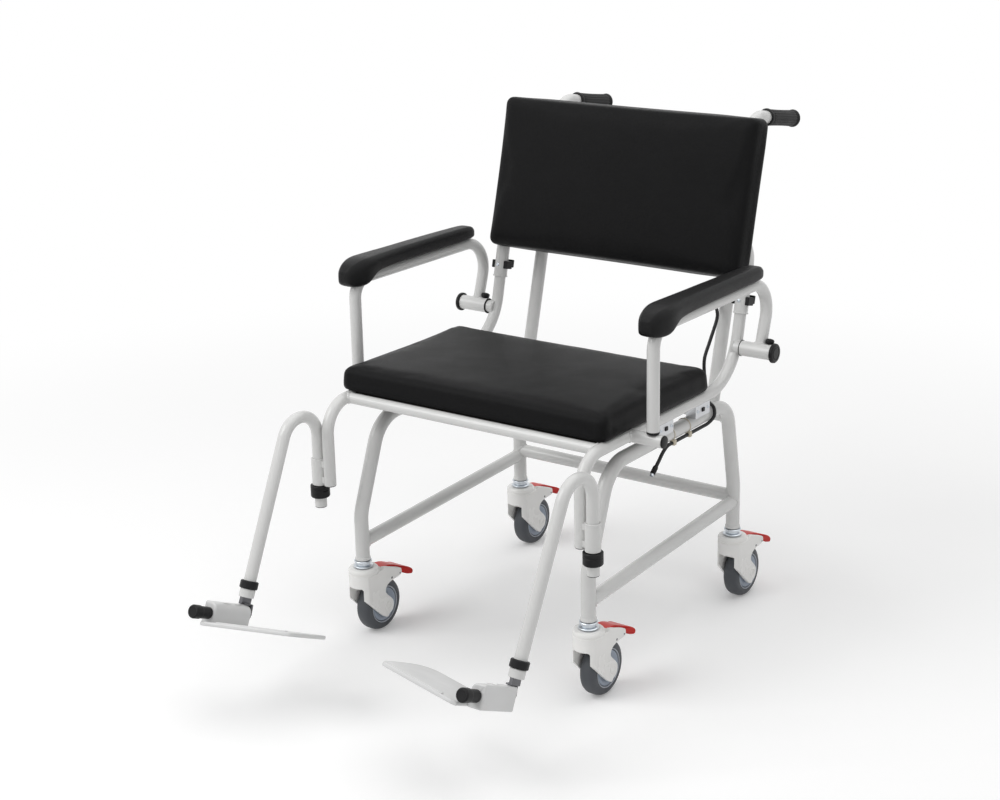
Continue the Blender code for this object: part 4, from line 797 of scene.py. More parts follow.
# Each finish: its slot in the record, colour, roughness range, and what its surface shows
FINISHES = {
    "frame_paint": dict(slot="frame_paint", colour=(0.73, 0.73, 0.72), rough=(0.14, 0.24), drift=0.05,
                        relief=(420.0, 0.00006)),
    "upholstery": dict(slot="upholstery", colour=(0.0026, 0.0026, 0.0030), rough=(0.37, 0.41), drift=0.10,
                       specular=0.095,
                       hide=(560.0, 0.00022)),
    "arm_foam": dict(slot="arm_foam", colour=(0.0060, 0.0060, 0.0065), rough=(0.32, 0.38), drift=0.10,
                     specular=0.15,
                     hide=(700.0, 0.00018)),
    "black_plastic": dict(slot="black_plastic", colour=(0.008, 0.008, 0.0088), rough=(0.34, 0.48),
                          drift=0.15, specular=0.22,
                          relief=(900.0, 0.00004)),
    "grip_rubber": dict(slot="grip_rubber", colour=(0.010, 0.010, 0.0105), rough=(0.50, 0.65), drift=0.20,
                        specular=0.25,
                        relief=(700.0, 0.00008)),
    "castor_plastic": dict(slot="castor_plastic", colour=(0.93, 0.924, 0.905), rough=(0.20, 0.32),
                           drift=0.05,
                           relief=(600.0, 0.00004)),
    "pedal_plastic": dict(slot="pedal_plastic", colour=(0.62, 0.014, 0.008), rough=(0.28, 0.42),
                          specular=0.2, drift=0.12,
                          relief=(600.0, 0.00004)),
    "tyre_rubber": dict(slot="tyre_rubber", colour=(0.066, 0.072, 0.082), rough=(0.46, 0.62), drift=0.20,
                        relief=(800.0, 0.00006)),
    "wheel_ring": dict(slot="tyre_rubber", colour=(0.46, 0.49, 0.54), rough=(0.35, 0.50), drift=0.08,
                       relief=(800.0, 0.00003)),
    "wheel_hub": dict(slot="tyre_rubber", colour=(0.33, 0.38, 0.46), rough=(0.35, 0.50), drift=0.10,
                      relief=(800.0, 0.00003)),
    "zinc_plate": dict(slot="zinc_plate", colour=(0.66, 0.70, 0.74), rough=(0.22, 0.40), drift=0.18,
                       metallic=1.0,
                       brushed=(260.0, 0.00004)),
    "dark_steel": dict(slot="zinc_plate", colour=(0.16, 0.16, 0.17), rough=(0.30, 0.45), drift=0.20,
                       metallic=1.0,
                       brushed=(260.0, 0.00004)),
    "load_cell_metal": dict(slot="load_cell_metal", colour=(0.62, 0.63, 0.65), rough=(0.25, 0.42),
                            drift=0.12,
                            metallic=1.0, brushed=(320.0, 0.00003)),
    "footplate_plastic": dict(slot="footplate_plastic", colour=(0.72, 0.722, 0.72), rough=(0.28, 0.40),
                              drift=0.06,
                              relief=(500.0, 0.00010)),
    "blank_label": dict(slot="footplate_plastic", colour=(0.78, 0.78, 0.77), rough=(0.25, 0.35), drift=0.03),
    "board_wood": dict(slot="board_wood", colour=(0.014, 0.013, 0.012), rough=(0.55, 0.75), drift=0.30,
                       specular=0.3,
                       relief=(260.0, 0.00012)),
    "case_plastic": dict(slot="case_plastic", colour=(0.72, 0.73, 0.735), rough=(0.36, 0.48), drift=0.04,
                         relief=(1100.0, 0.00006)),
    "case_face": dict(slot="case_plastic", colour=(0.76, 0.77, 0.775), rough=(0.30, 0.40), drift=0.03,
                      relief=(1100.0, 0.00003)),
    "circuit_green": dict(slot="circuit_green", colour=(0.02, 0.16, 0.06), rough=(0.35, 0.50), drift=0.15),
    "display_glass": dict(slot="window_glass", colour=(0.38, 0.46, 0.52), rough=(0.08, 0.14), drift=0.08),
    "display_digit": dict(slot="window_glass", colour=(0.020, 0.024, 0.030), rough=(0.20, 0.30), drift=0.0),
    "keypad_film": dict(slot="keypad_film", colour=(0.115, 0.12, 0.13), rough=(0.34, 0.46), drift=0.08,
                        relief=(900.0, 0.00003)),
    "key_white": dict(slot="keypad_film", colour=(0.74, 0.75, 0.76), rough=(0.34, 0.46), drift=0.04,
                      relief=(900.0, 0.00003)),
    "key_print": dict(slot="keypad_film", colour=(0.030, 0.032, 0.036), rough=(0.40, 0.50), drift=0.0),
    "cable_jacket": dict(slot="cable_jacket", colour=(0.009, 0.009, 0.010), rough=(0.36, 0.50), drift=0.15,
                         specular=0.3,
                         relief=(600.0, 0.00005)),
    "clip_nylon": dict(slot="cable_jacket", colour=(0.62, 0.56, 0.44), rough=(0.36, 0.50), drift=0.08),
}


def finish_of(name):
    """The material of a finish, made on its first use."""
    called = f"{name}_finish"
    if called in bpy.data.materials:
        return bpy.data.materials[called]
    facts = FINISHES[name]
    material = bpy.data.materials.new(called)
    material.use_nodes = True
    tree = material.node_tree
    shader = tree.nodes["Principled BSDF"]
    colour = (*colour_of(name), 1)
    shader.inputs["Metallic"].default_value = facts.get("metallic", 0.0)
    shader.inputs["Specular IOR Level"].default_value = facts.get("specular", 0.5)
    material.diffuse_color = colour
    drift = node(tree, "Group", node_tree=bpy.data.node_groups["tone_drift"])
    drift.inputs["Colour"].default_value = colour
    drift.inputs["Scale"].default_value = 14.0
    drift.inputs["Depth"].default_value = facts["drift"]
    wire(tree, drift, "Colour", shader, "Base Color")
    gloss = node(tree, "MapRange")
    gloss.inputs["To Min"].default_value, gloss.inputs["To Max"].default_value = facts["rough"]
    wire(tree, drift, "Mask", gloss, "Value")
    wire(tree, gloss, "Result", shader, "Roughness")
    for kind, group in (("relief", "skin_relief"), ("hide", "hide_grain"), ("brushed", "brushed_lines")):
        if kind in facts:
            scale, depth = facts[kind]
            relief = node(tree, "Group", node_tree=bpy.data.node_groups[group])
            relief.inputs["Scale"].default_value = scale
            bump = node(tree, "Bump")
            bump.inputs["Distance"].default_value = depth
            bump.inputs["Strength"].default_value = 0.9
            wire(tree, relief, "Height", bump, "Height")
            wire(tree, bump, "Normal", shader, "Normal")
    return material


def colour_of(name):
    """The finish's colour, which the panel's settings may change."""
    settings = bpy.context.scene.chair_finishes
    chosen = {"frame_paint": settings.frame_colour, "upholstery": settings.pad_colour,
              "pedal_plastic": settings.pedal_colour}
    return tuple(chosen.get(name, FINISHES[name]["colour"]))


# Tubes of the frame

def in_side_plane(x, corners):
    return [(Vector((x, y, z)), radius) for y, z, radius in corners]


def hoop_path(x):
    return rounded_path(in_side_plane(x, (
        (CASTOR_FRONT_Y, HOOP_END_Z, 0), (CASTOR_FRONT_Y, HOOP_KNEE_Z, HOOP_KNEE_BEND),
        (HOOP_FRONT_TOP_Y, HOOP_TOP_Z, HOOP_FRONT_BEND), (HOOP_REAR_TOP_Y, HOOP_TOP_Z, HOOP_REAR_BEND),
        (CASTOR_REAR_Y, HOOP_KNEE_Z, HOOP_KNEE_BEND), (CASTOR_REAR_Y, HOOP_END_Z, 0))))


def rear_bar_y(z):
    share = (z - HOOP_KNEE_Z) / (HOOP_TOP_Z - HOOP_KNEE_Z)
    return CASTOR_REAR_Y + share * (HOOP_REAR_TOP_Y - CASTOR_REAR_Y)


def build_base(weld):
    """Both hoops, the bars between them and their welds."""
    rear_bars = (("base_rear_lower_bar", CASTOR_REAR_Y, REAR_LOWER_BAR_Z),
                 ("base_rear_upper_bar", rear_bar_y(REAR_UPPER_BAR_Z), REAR_UPPER_BAR_Z))
    leg_way = Vector((0, HOOP_REAR_TOP_Y - CASTOR_REAR_Y, HOOP_TOP_Z - HOOP_KNEE_Z))
    bar_way = Vector((0, CASTOR_REAR_Y - CASTOR_FRONT_Y, LOWER_BAR_REAR_Z - LOWER_BAR_FRONT_Z))
    for side, sign in SIDES:
        x = sign * CASTOR_X
        hoop = Shape("frame_paint").tube(hoop_path(x), HOOP_RADIUS)
        for _, y in ENDS:
            hoop.turned(around(HOOP_RADIUS, HOOP_END_Z, (0.0012, 0), (0.0016, 0.001), (0.0012, 0.004),
                               (0, 0.006), (-0.003, 0.003)), Matrix.Translation((x, y, 0)), ring=True)
        front = Vector((x, CASTOR_FRONT_Y, LOWER_BAR_FRONT_Z))
        rear = Vector((x, CASTOR_REAR_Y, LOWER_BAR_REAR_Z))
        for spot, way in ((front, bar_way), (rear, -bar_way)):
            hoop.weld(spot, (0, 0, 1), HOOP_RADIUS, spot, way, BAR_RADIUS, weld)
        for name, y, z in rear_bars:
            way = (0, 0, 1) if z < HOOP_KNEE_Z else leg_way
            hoop.weld((x, y, z), way, HOOP_RADIUS, (x, y, z), (-sign, 0, 0), BAR_RADIUS, weld)
        piece(f"base_hoop_tube_{side}", hoop, "base", [f"base_hoop_{side}"])
        bar = Shape("frame_paint").tube((front, rear), BAR_RADIUS)
        piece(f"base_lower_tube_{side}", bar, "base", [f"base_lower_bar_{side}"])
    for name, y, z in rear_bars:
        bar = Shape("frame_paint").tube(((-CASTOR_X, y, z), (CASTOR_X, y, z)), BAR_RADIUS)
        piece(name.replace("_bar", "_tube"), bar, "base", [name])


def post_y(z):
    return rear_bar_y(REAR_UPPER_BAR_Z) + (z - REAR_UPPER_BAR_Z) * math.tan(POST_LEAN)


def handle_point(x, run):
    corner = Vector((x, post_y(HANDLE_CORNER_Z), HANDLE_CORNER_Z))
    return corner + run * Vector((0, math.cos(HANDLE_DROP), -math.sin(HANDLE_DROP)))


def build_posts(weld, flute_depth):
    """Push posts welded on the rear bar, with fluted rubber grips."""
    lean, _ = leaning(POST_LEAN)
    bore = POST_DIAMETER / 2
    flange = GRIP_FLANGE_RADIUS
    waist = GRIP_RADIUS - 0.0012
    for side, sign in SIDES:
        x = sign * POST_X
        foot = Vector((x, rear_bar_y(REAR_UPPER_BAR_Z), REAR_UPPER_BAR_Z))
        path = rounded_path(((foot, 0), (handle_point(x, 0), POST_BEND), (handle_point(x, HANDLE_REACH), 0)))
        post = Shape("frame_paint").tube(path, bore)
        post.weld(foot, (1, 0, 0), BAR_RADIUS, foot, lean, bore, weld)
        piece(f"push_post_tube_{side}", post, "base", [f"push_post_{side}"])
        at = placed(handle_point(x, HANDLE_REACH + GRIP_CAP), (1, 0, 0),
                    handle_point(x, 0) - handle_point(x, 1))
        grip = Shape("grip_rubber")
        grip.turned(((0, 0), *around(flange, 0, (-0.005, 0), (-0.0015, 0.0010), (0, 0.0030),
                                     (-0.0004, 0.0055)),
                     (waist, 0.0080), (waist, 0.0100)), at, 72)
        profile = [(waist, 0.0100), (GRIP_RADIUS, 0.0125)]
        for k in range(1, 10):
            profile.append((GRIP_RADIUS - 0.0006 * math.sin(math.pi * k / 10),
                            0.0125 + (GRIP_LENGTH - 0.0270) * k / 10))
        profile += [(GRIP_RADIUS, GRIP_LENGTH - 0.0145), (waist, GRIP_LENGTH - 0.0120)]
        grip.turned(profile, at, 144, flutes=GRIP_FLUTES, depth=flute_depth)
        grip.turned((*around(waist, GRIP_LENGTH, (0, -0.0120), (0, -0.0080)),
                     *around(flange, GRIP_LENGTH, (-0.0004, -0.0060), (0, -0.0035), (-0.0010, -0.0005)),
                     *around(bore, GRIP_LENGTH, (0.0012, 0), (0, -0.001), (-0.001, -0.003))), at, 72)
        piece(f"push_grip_cover_{side}", grip, "base", [f"push_grip_{side}"])


def upright_y(z):
    return UPRIGHT_CORNER_Y + (z - SIDE_RAIL_Z) * math.tan(UPRIGHT_LEAN)


def plug(shape, at, outward, radius, depth=0.003):
    """A pressed-in end plug with a rounded rim, standing off a tube's end."""
    shape.use("black_plastic")
    shape.turned(((0, depth), (radius * 0.72, depth), (radius * 0.94, depth * 0.72), (radius, depth * 0.25),
                  (radius, 0), (radius * 0.80, -0.0005), (0, -0.0005)), placed(at, None, outward))


def build_seat_frame(weld):
    """Side frames with hangers, stubs and axles, the seat's cross rails and the load cells."""
    radius = SIDE_RADIUS
    rail_axis = (0, 1, 0)
    lean, _ = leaning(UPRIGHT_LEAN)
    axle_hold = ARM_SLEEVE_RADIUS - 0.0022
    for side, sign in SIDES:
        x = sign * SIDE_X
        path = rounded_path(in_side_plane(x, (
            (HANGER_Y, HANGER_FOOT_Z, 0), (HANGER_Y, SIDE_RAIL_Z, HANGER_BEND),
            (UPRIGHT_CORNER_Y, SIDE_RAIL_Z, UPRIGHT_BEND), (upright_y(UPRIGHT_TOP_Z), UPRIGHT_TOP_Z, 0))))
        side_tube = Shape("frame_paint").tube(path, radius)
        stub_at = Vector((x, STUB_Y, SIDE_RAIL_Z))
        end = Vector((sign * STUB_END_X, STUB_Y, SIDE_RAIL_Z))
        side_tube.tube((stub_at, end - Vector((sign * 0.0005, 0, 0))), radius)
        side_tube.weld(stub_at, rail_axis, radius, stub_at, (sign, 0, 0), radius, weld)
        pivot_at = Vector((x, ARM_PIVOT_Y, ARM_PIVOT_Z))
        near = Vector((x, upright_y(ARM_PIVOT_Z), ARM_PIVOT_Z))
        axle_end = Vector((sign * ARM_SLEEVE_START_X, ARM_PIVOT_Y, ARM_PIVOT_Z))
        side_tube.tube((pivot_at, axle_end), axle_hold)
        side_tube.weld(near, lean, radius, pivot_at, (sign, 0, 0), axle_hold, weld)
        side_tube.use("zinc_plate")
        axle_stop = (sign * (ARM_X - ARM_RADIUS - 0.003), ARM_PIVOT_Y, ARM_PIVOT_Z)
        side_tube.tube((axle_end, axle_stop), ARM_AXLE_RADIUS, 20)
        side_tube.use("frame_paint")
        inner = FOOTREST_RADIUS + 0.0004
        side_tube.turned(((inner, FOOTREST_SLEEVE_TOP_Z),
                          *around(FOOTREST_SLEEVE_RADIUS, FOOTREST_SLEEVE_TOP_Z, (-0.0006, 0), (0, -0.0006)),
                          *around(FOOTREST_SLEEVE_RADIUS, FOOTREST_SLEEVE_FOOT_Z, (0, 0.0006), (-0.0006, 0)),
                          (inner, FOOTREST_SLEEVE_FOOT_Z)),
                         Matrix.Translation((sign * FOOTREST_X, FOOTREST_Y, 0)), ring=True)
        middle = (SIDE_X + FOOTREST_X - FOOTREST_SLEEVE_RADIUS) / 2
        for level in (FOOTREST_SLEEVE_TOP_Z - 0.009, FOOTREST_SLEEVE_FOOT_Z + 0.011):
            web = Matrix.Translation((sign * (middle + 0.001), FOOTREST_Y, level))
            side_tube.box((0.014, 0.014, 0.012), web, 0.0012)
        plug(side_tube, Vector((x, HANGER_Y, HANGER_FOOT_Z)), (0, 0, -1), radius, 0.002)
        plug(side_tube, end, (sign, 0, 0), radius)
        side_tube.use("frame_paint")
        for y in (FRONT_RAIL_Y, REAR_RAIL_Y):
            rail_at = (x, y, SIDE_RAIL_Z)
            side_tube.weld(rail_at, rail_axis, radius, rail_at, (-sign, 0, 0), RAIL_RADIUS, weld)
        piece(f"seat_side_tube_{side}", side_tube, "base", [f"seat_side_frame_{side}"])
        for where, y in (("front", CELL_FRONT_Y), ("rear", CELL_REAR_Y)):
            build_load_cell(f"{where}_{side}", sign, y)
    for name, y in (("seat_front_rail", FRONT_RAIL_Y), ("seat_rear_rail", REAR_RAIL_Y)):
        rail = Shape("frame_paint").tube(((-SIDE_X, y, SIDE_RAIL_Z), (SIDE_X, y, SIDE_RAIL_Z)), RAIL_RADIUS)
        piece(name.replace("rail", "cross_tube"), rail, "base", [name])


def build_load_cell(where, sign, y):
    """A cell between hoop and side rail: a milled block with its strain-gauge pocket and two screws."""
    foot = HOOP_TOP_Z + HOOP_RADIUS
    head = SIDE_RAIL_Z - SIDE_RADIUS
    middle = Vector((sign * (CASTOR_X + SIDE_X) / 2, y, (foot + head) / 2))
    cell = Shape("load_cell_metal")
    height = head - foot - 0.0006
    cell.box((CELL_WIDTH - 0.004, CELL_LENGTH, height), Matrix.Translation(middle), 0.0012)
    cell.use("black_plastic")
    cell.box((CELL_WIDTH, CELL_LENGTH * 0.16, height * 0.30), Matrix.Translation(middle), 0.001)
    for along in (-1, 1):
        spot = middle + Vector((sign * (CELL_WIDTH / 2 - 0.002), along * CELL_LENGTH * 0.36, 0))
        cell.screw(0.0030, placed(spot, None, (sign, 0, 0)))
    piece(f"load_cell_block_{where}", cell, "base", [f"load_cell_{where}"])


# Seat and backrest

def swollen(made, pressure, cap, sink):
    """Swells a closed pad with cloth under pressure, holds its flat back, and caps how far a point moves."""
    scene = bpy.context.scene
    start = [vert.co.copy() for vert in made.data.vertices]
    floor = min(point.z for point in start) + sink
    held = made.vertex_groups.new(name="held")
    held.add([i for i, point in enumerate(start) if point.z < floor], 1.0, "REPLACE")
    cloth = made.modifiers.new("Cloth", "CLOTH")
    settings = cloth.settings
    settings.quality = 5
    settings.mass = 0.4
    settings.tension_stiffness = 40
    settings.compression_stiffness = 40
    settings.shear_stiffness = 20
    settings.bending_stiffness = 4
    settings.use_pressure = True
    settings.uniform_pressure_force = pressure
    settings.vertex_group_mass = "held"
    settings.effector_weights.gravity = 0
    cloth.collision_settings.use_collision = False
    for number in range(1, 21):
        scene.frame_set(number)
    moved = baked(made)
    ends = [vert.co.copy() for vert in moved.vertices]
    scene.frame_set(1)
    made.modifiers.remove(cloth)
    made.vertex_groups.clear()
    bpy.data.meshes.remove(moved)
    for vert, before, after in zip(made.data.vertices, start, ends):
        move = after - before
        if move.length > cap:
            move *= cap / move.length
        vert.co = before + move


def pad_mesh(name, size, corner, settings):
    """A stuffed pad's mesh: rolled edges, crowned top, drawn-in sides, swollen cover and faint hollows."""
    width, depth, height = size
    voxel = settings.voxel
    shape = Shape("upholstery")
    outline = rectangle(width, depth, corner, 8)
    rings = []
    for rim, foot, angles in ((COVER_ROLL * 0.2, 0, (0, 30, 60, 90)),
                              (COVER_ROLL, height, (90, 75, 60, 45, 30, 15, 0))):
        for degrees in angles:
            a = math.radians(degrees)
            lift = rim * (1 - math.cos(a))
            rings.append([(x, y, foot + lift if foot == 0 else foot - lift)
                          for x, y in inset(outline, rim * (1 - math.sin(a)))])
    made = scratch(shape.skin(rings))
    remesh = made.modifiers.new("Voxels", "REMESH")
    remesh.mode = "VOXEL"
    remesh.voxel_size = voxel
    data = baked(made)
    made.modifiers.clear()
    made.data = data
    for vert in data.vertices:
        u = max(-1, min(1, 2 * vert.co.x / width))
        v = max(-1, min(1, 2 * vert.co.y / depth))
        w = max(0, min(1, vert.co.z / height))
        middle = (1 - u ** 4) * (1 - v ** 4)
        vert.co.z += settings.crown * middle * w
        vert.co.x -= settings.draw * u * (1 - v ** 2) * (0.35 + 0.65 * w)
        vert.co.y -= settings.draw * v * (1 - u ** 2) * (0.35 + 0.65 * w)
    swollen(made, COVER_PRESSURE, COVER_SWELL, voxel * 0.8)
    for vert in data.vertices:
        w = max(0, min(1, vert.co.z / height))
        dip = noise.noise(Vector((vert.co.x * 9, vert.co.y * 9, 3.1))) + 0.5 * noise.noise(
            Vector((vert.co.x * 26, vert.co.y * 26, 7.7)))
        vert.co.z += 0.0006 * dip * w
    soft = made.modifiers.new("Smooth", "SMOOTH")
    soft.factor = 0.5
    soft.iterations = 3
    finer = made.modifiers.new("Finer", "SUBSURF")
    finer.levels = 1
    result = baked(made)
    result.name = name
    bpy.data.objects.remove(made)
    result.materials.clear()
    result.materials.append(finish_of("upholstery"))
    result.shade_smooth()
    return result


def build_seat(settings):
    """The seat's cushion on its board."""
    size = (SEAT_WIDTH + 0.016, SEAT_BACK_Y - SEAT_FRONT_Y + 0.004, SEAT_TOP_Z - SEAT_FOOT_Z)
    data = pad_mesh("seat_pad", size, 0.016, settings)
    at = Matrix.Translation((-0.003, (SEAT_FRONT_Y + SEAT_BACK_Y) / 2 - 0.001, SEAT_FOOT_Z))
    made = place("seat_pad", data, "base", ["seat_cushion"], at)
    refinished("seat_board", "board_wood")


def arch_path():
    foot_y = upright_y(SLEEVE_FOOT_Z)
    top_y = upright_y(ARCH_TOP_BAR_Z)
    corners = ((-SIDE_X, foot_y, SLEEVE_FOOT_Z, 0), (-SIDE_X, top_y, ARCH_TOP_BAR_Z, ARCH_BEND),
               (SIDE_X, top_y, ARCH_TOP_BAR_Z, ARCH_BEND), (SIDE_X, foot_y, SLEEVE_FOOT_Z, 0))
    return rounded_path([(Vector((x, y, z)), radius) for x, y, z, radius in corners])


def build_backrest(settings):
    """The arched tube with its height clamps, and the pad on it."""
    radius = SLEEVE_RADIUS
    lean, _ = leaning(UPRIGHT_LEAN)
    arch = Shape("frame_paint").tube(arch_path(), radius)
    for _, sign in SIDES:
        foot = Vector((sign * SIDE_X, upright_y(SLEEVE_FOOT_Z), SLEEVE_FOOT_Z))
        at = placed(foot, (1, 0, 0), lean)
        arch.use("frame_paint")
        arch.turned(around(radius, 0, (0.0009, 0), (0.0013, 0.0012), (0.0009, 0.0024), (0, 0.003),
                           (-0.002, 0.0015), (-0.002, 0)), at, ring=True)
        level = Vector((sign * SIDE_X, upright_y(CLAMP_Z), CLAMP_Z))
        arch.use("black_plastic")
        for across in (-1, 1):
            spot = level + Vector((across * (radius + 0.0006), 0.002, 0))
            arch.box((0.008, 0.020, 0.0155), placed(spot, (1, 0, 0), lean), 0.0014)
        strap = level + Vector((0, radius + 0.003, 0))
        arch.box((0.034, 0.007, 0.0155), placed(strap, (1, 0, 0), lean), 0.0014)
        front = Vector((0, -math.cos(UPRIGHT_LEAN), math.sin(UPRIGHT_LEAN)))
        arch.screw(0.0036, placed(level + front * (radius - 0.0006), None, front))
    piece("backrest_arch", arch, "backrest", ["backrest_frame"])
    up, back = leaning(PAD_LEAN)
    centre = Vector((0, PAD_FOOT_Y, PAD_FOOT_Z)) + up * PAD_HEIGHT / 2 + back * PAD_THICKNESS
    size = (PAD_WIDTH + 0.001, PAD_HEIGHT + 0.001, PAD_THICKNESS - settings.crown / 2)
    data = pad_mesh("backrest_pad_cover", size, 0.018, settings)
    at = placed(centre, (1, 0, 0), -back)
    made = place("backrest_pad_cover", data, "backrest", ["backrest_pad"], at)
    panel = Shape("board_wood").box((PAD_WIDTH - 0.050, PAD_HEIGHT - 0.050, 0.003),
                                    placed(centre + back * 0.0005, (1, 0, 0), back), 0.0012, 0.012)
    for across in (-1, 0, 1):
        column = centre + Vector((across * (PAD_WIDTH / 2 - 0.045), 0, 0))
        for rise in (-1, 1):
            spot = column + up * rise * (PAD_HEIGHT / 2 - 0.040)
            panel.screw(0.0036, placed(spot + back * 0.002, None, back))
    piece("backrest_rear_panel", panel, "backrest")


# Armrests

def arm_pad_mesh(name, x):
    """The foam pad over an arm's tube, with a wide drooping nose."""
    base = ARM_TUBE_Z + ARM_RADIUS + FIT
    length = ARM_PAD_REAR_Y - ARM_PAD_NOSE_Y
    rings = []
    for along, wide, high, low in ARM_PAD_SHARES:
        bottom = base + low * (ARM_PAD_NOSE_DROP if low < 0 else ARM_PAD_TOP_Z - base)
        top = base + high * (ARM_PAD_TOP_Z - base)
        rings.append([(x + u * wide * ARM_PAD_HALF_WIDTH, ARM_PAD_NOSE_Y + along * length,
                       bottom + v * (top - bottom)) for u, v in ARM_PAD_RING_SHARES])
    shape = Shape("arm_foam").skin(rings)
    made = scratch(shape)
    finer = made.modifiers.new("Finer", "SUBSURF")
    finer.levels = 4
    data = baked(made)
    bpy.data.objects.remove(made)
    data.name = name
    for vert in data.vertices:
        dip = noise.noise(Vector((vert.co.x * 30, vert.co.y * 14, vert.co.z * 30)))
        vert.co.z += 0.0003 * dip
    data.materials.clear()
    data.materials.append(finish_of("arm_foam"))
    data.shade_smooth()
    return data


def build_armrests(weld):
    """Both swinging arms: bent tube, sleeve, washers, knob and foam pad."""
    radius = ARM_RADIUS
    plug_z = SIDE_RAIL_Z + SIDE_RADIUS + FIT
    for side, sign in SIDES:
        body = f"armrest_{side}"
        x = sign * ARM_X
        path = rounded_path(in_side_plane(x, (
            (ARM_FRONT_Y, plug_z + 0.004, 0), (ARM_FRONT_Y, ARM_TUBE_Z, ARM_FRONT_BEND),
            (ARM_REAR_CORNER_Y, ARM_TUBE_Z, ARM_REAR_BEND), (ARM_ENTRY_Y, ARM_PIVOT_Z, 0))))
        arm = Shape("frame_paint").tube(path, radius)
        start = Vector((sign * (ARM_SLEEVE_START_X + 0.0016), ARM_PIVOT_Y, ARM_PIVOT_Z))
        end = Vector((sign * ARM_SLEEVE_END_X, ARM_PIVOT_Y, ARM_PIVOT_Z))
        arm.tube((start, end), ARM_SLEEVE_RADIUS, 40)
        entry = Vector((x, ARM_ENTRY_Y, ARM_PIVOT_Z))
        rise = (path[-2] - path[-1]).normalized()
        arm.weld((x, ARM_PIVOT_Y, ARM_PIVOT_Z), (1, 0, 0), ARM_SLEEVE_RADIUS, entry, rise, radius, weld)
        arm.use("black_plastic")
        washer = placed((sign * ARM_SLEEVE_START_X, ARM_PIVOT_Y, ARM_PIVOT_Z), None, (sign, 0, 0))
        bore = ARM_AXLE_RADIUS + 0.0004
        rim = around(ARM_SLEEVE_RADIUS, 0, (0.0006, 0.0002), (0.0012, 0.0008), (0.0006, 0.0015))
        arm.turned(((bore, 0.0002), *rim, (bore, 0.0015)), washer, 40, ring=True)
        foot = around(radius, 0, (-0.0006, -0.004), (0.0002, -0.003), (0.0002, 0.0004), (-0.001, 0.0006))
        arm.turned(((0, -0.004), *foot, (0, 0.0006)), Matrix.Translation((x, ARM_FRONT_Y, plug_z + 0.004)))
        knob_at = Vector((x + 0.020, ARM_PIVOT_Y + 0.006, ARM_PIVOT_Z + ARM_SLEEVE_RADIUS - 0.002))
        arm.turned(((0.0055, 0), (0.0080, 0.003), (0.0086, 0.008), (0.0070, 0.0105), (0.0030, 0.0115),
                    (0, 0.0117)),
                   placed(knob_at, None, (0, 0.35, 1)), 24, flutes=6, depth=0.0012)
        piece(f"armrest_tube_{side}", arm, body, [f"armrest_frame_{side}"])
        outer = ARM_CAP_RADIUS
        tall = ARM_CAP_THICKNESS
        cap = Shape("black_plastic").turned(
            ((0, tall), (outer * 0.55, tall), (outer * 0.62, tall - 0.0010), (outer * 0.70, tall),
             *around(outer, tall, (-0.002, -0.0002), (-0.0004, -0.0016)),
             *around(outer, 0, (0, 0.0030), (0, 0.0008), (-0.0008, 0)), (0, 0)),
            placed(end + Vector((sign * 0.0004, 0, 0)), None, (sign, 0, 0)), 48)
        piece(f"armrest_cap_{side}", cap, "base", [f"armrest_pivot_cap_{side}"])
        foam = f"armrest_foam_{side}"
        rest = place(foam, arm_pad_mesh(foam, sign * ARM_PAD_X), body, [f"armrest_pad_{side}"])


# Castors

def from_shares(shares):
    return [(x * WHEEL_RADIUS, y * WHEEL_RADIUS) for x, y in shares]


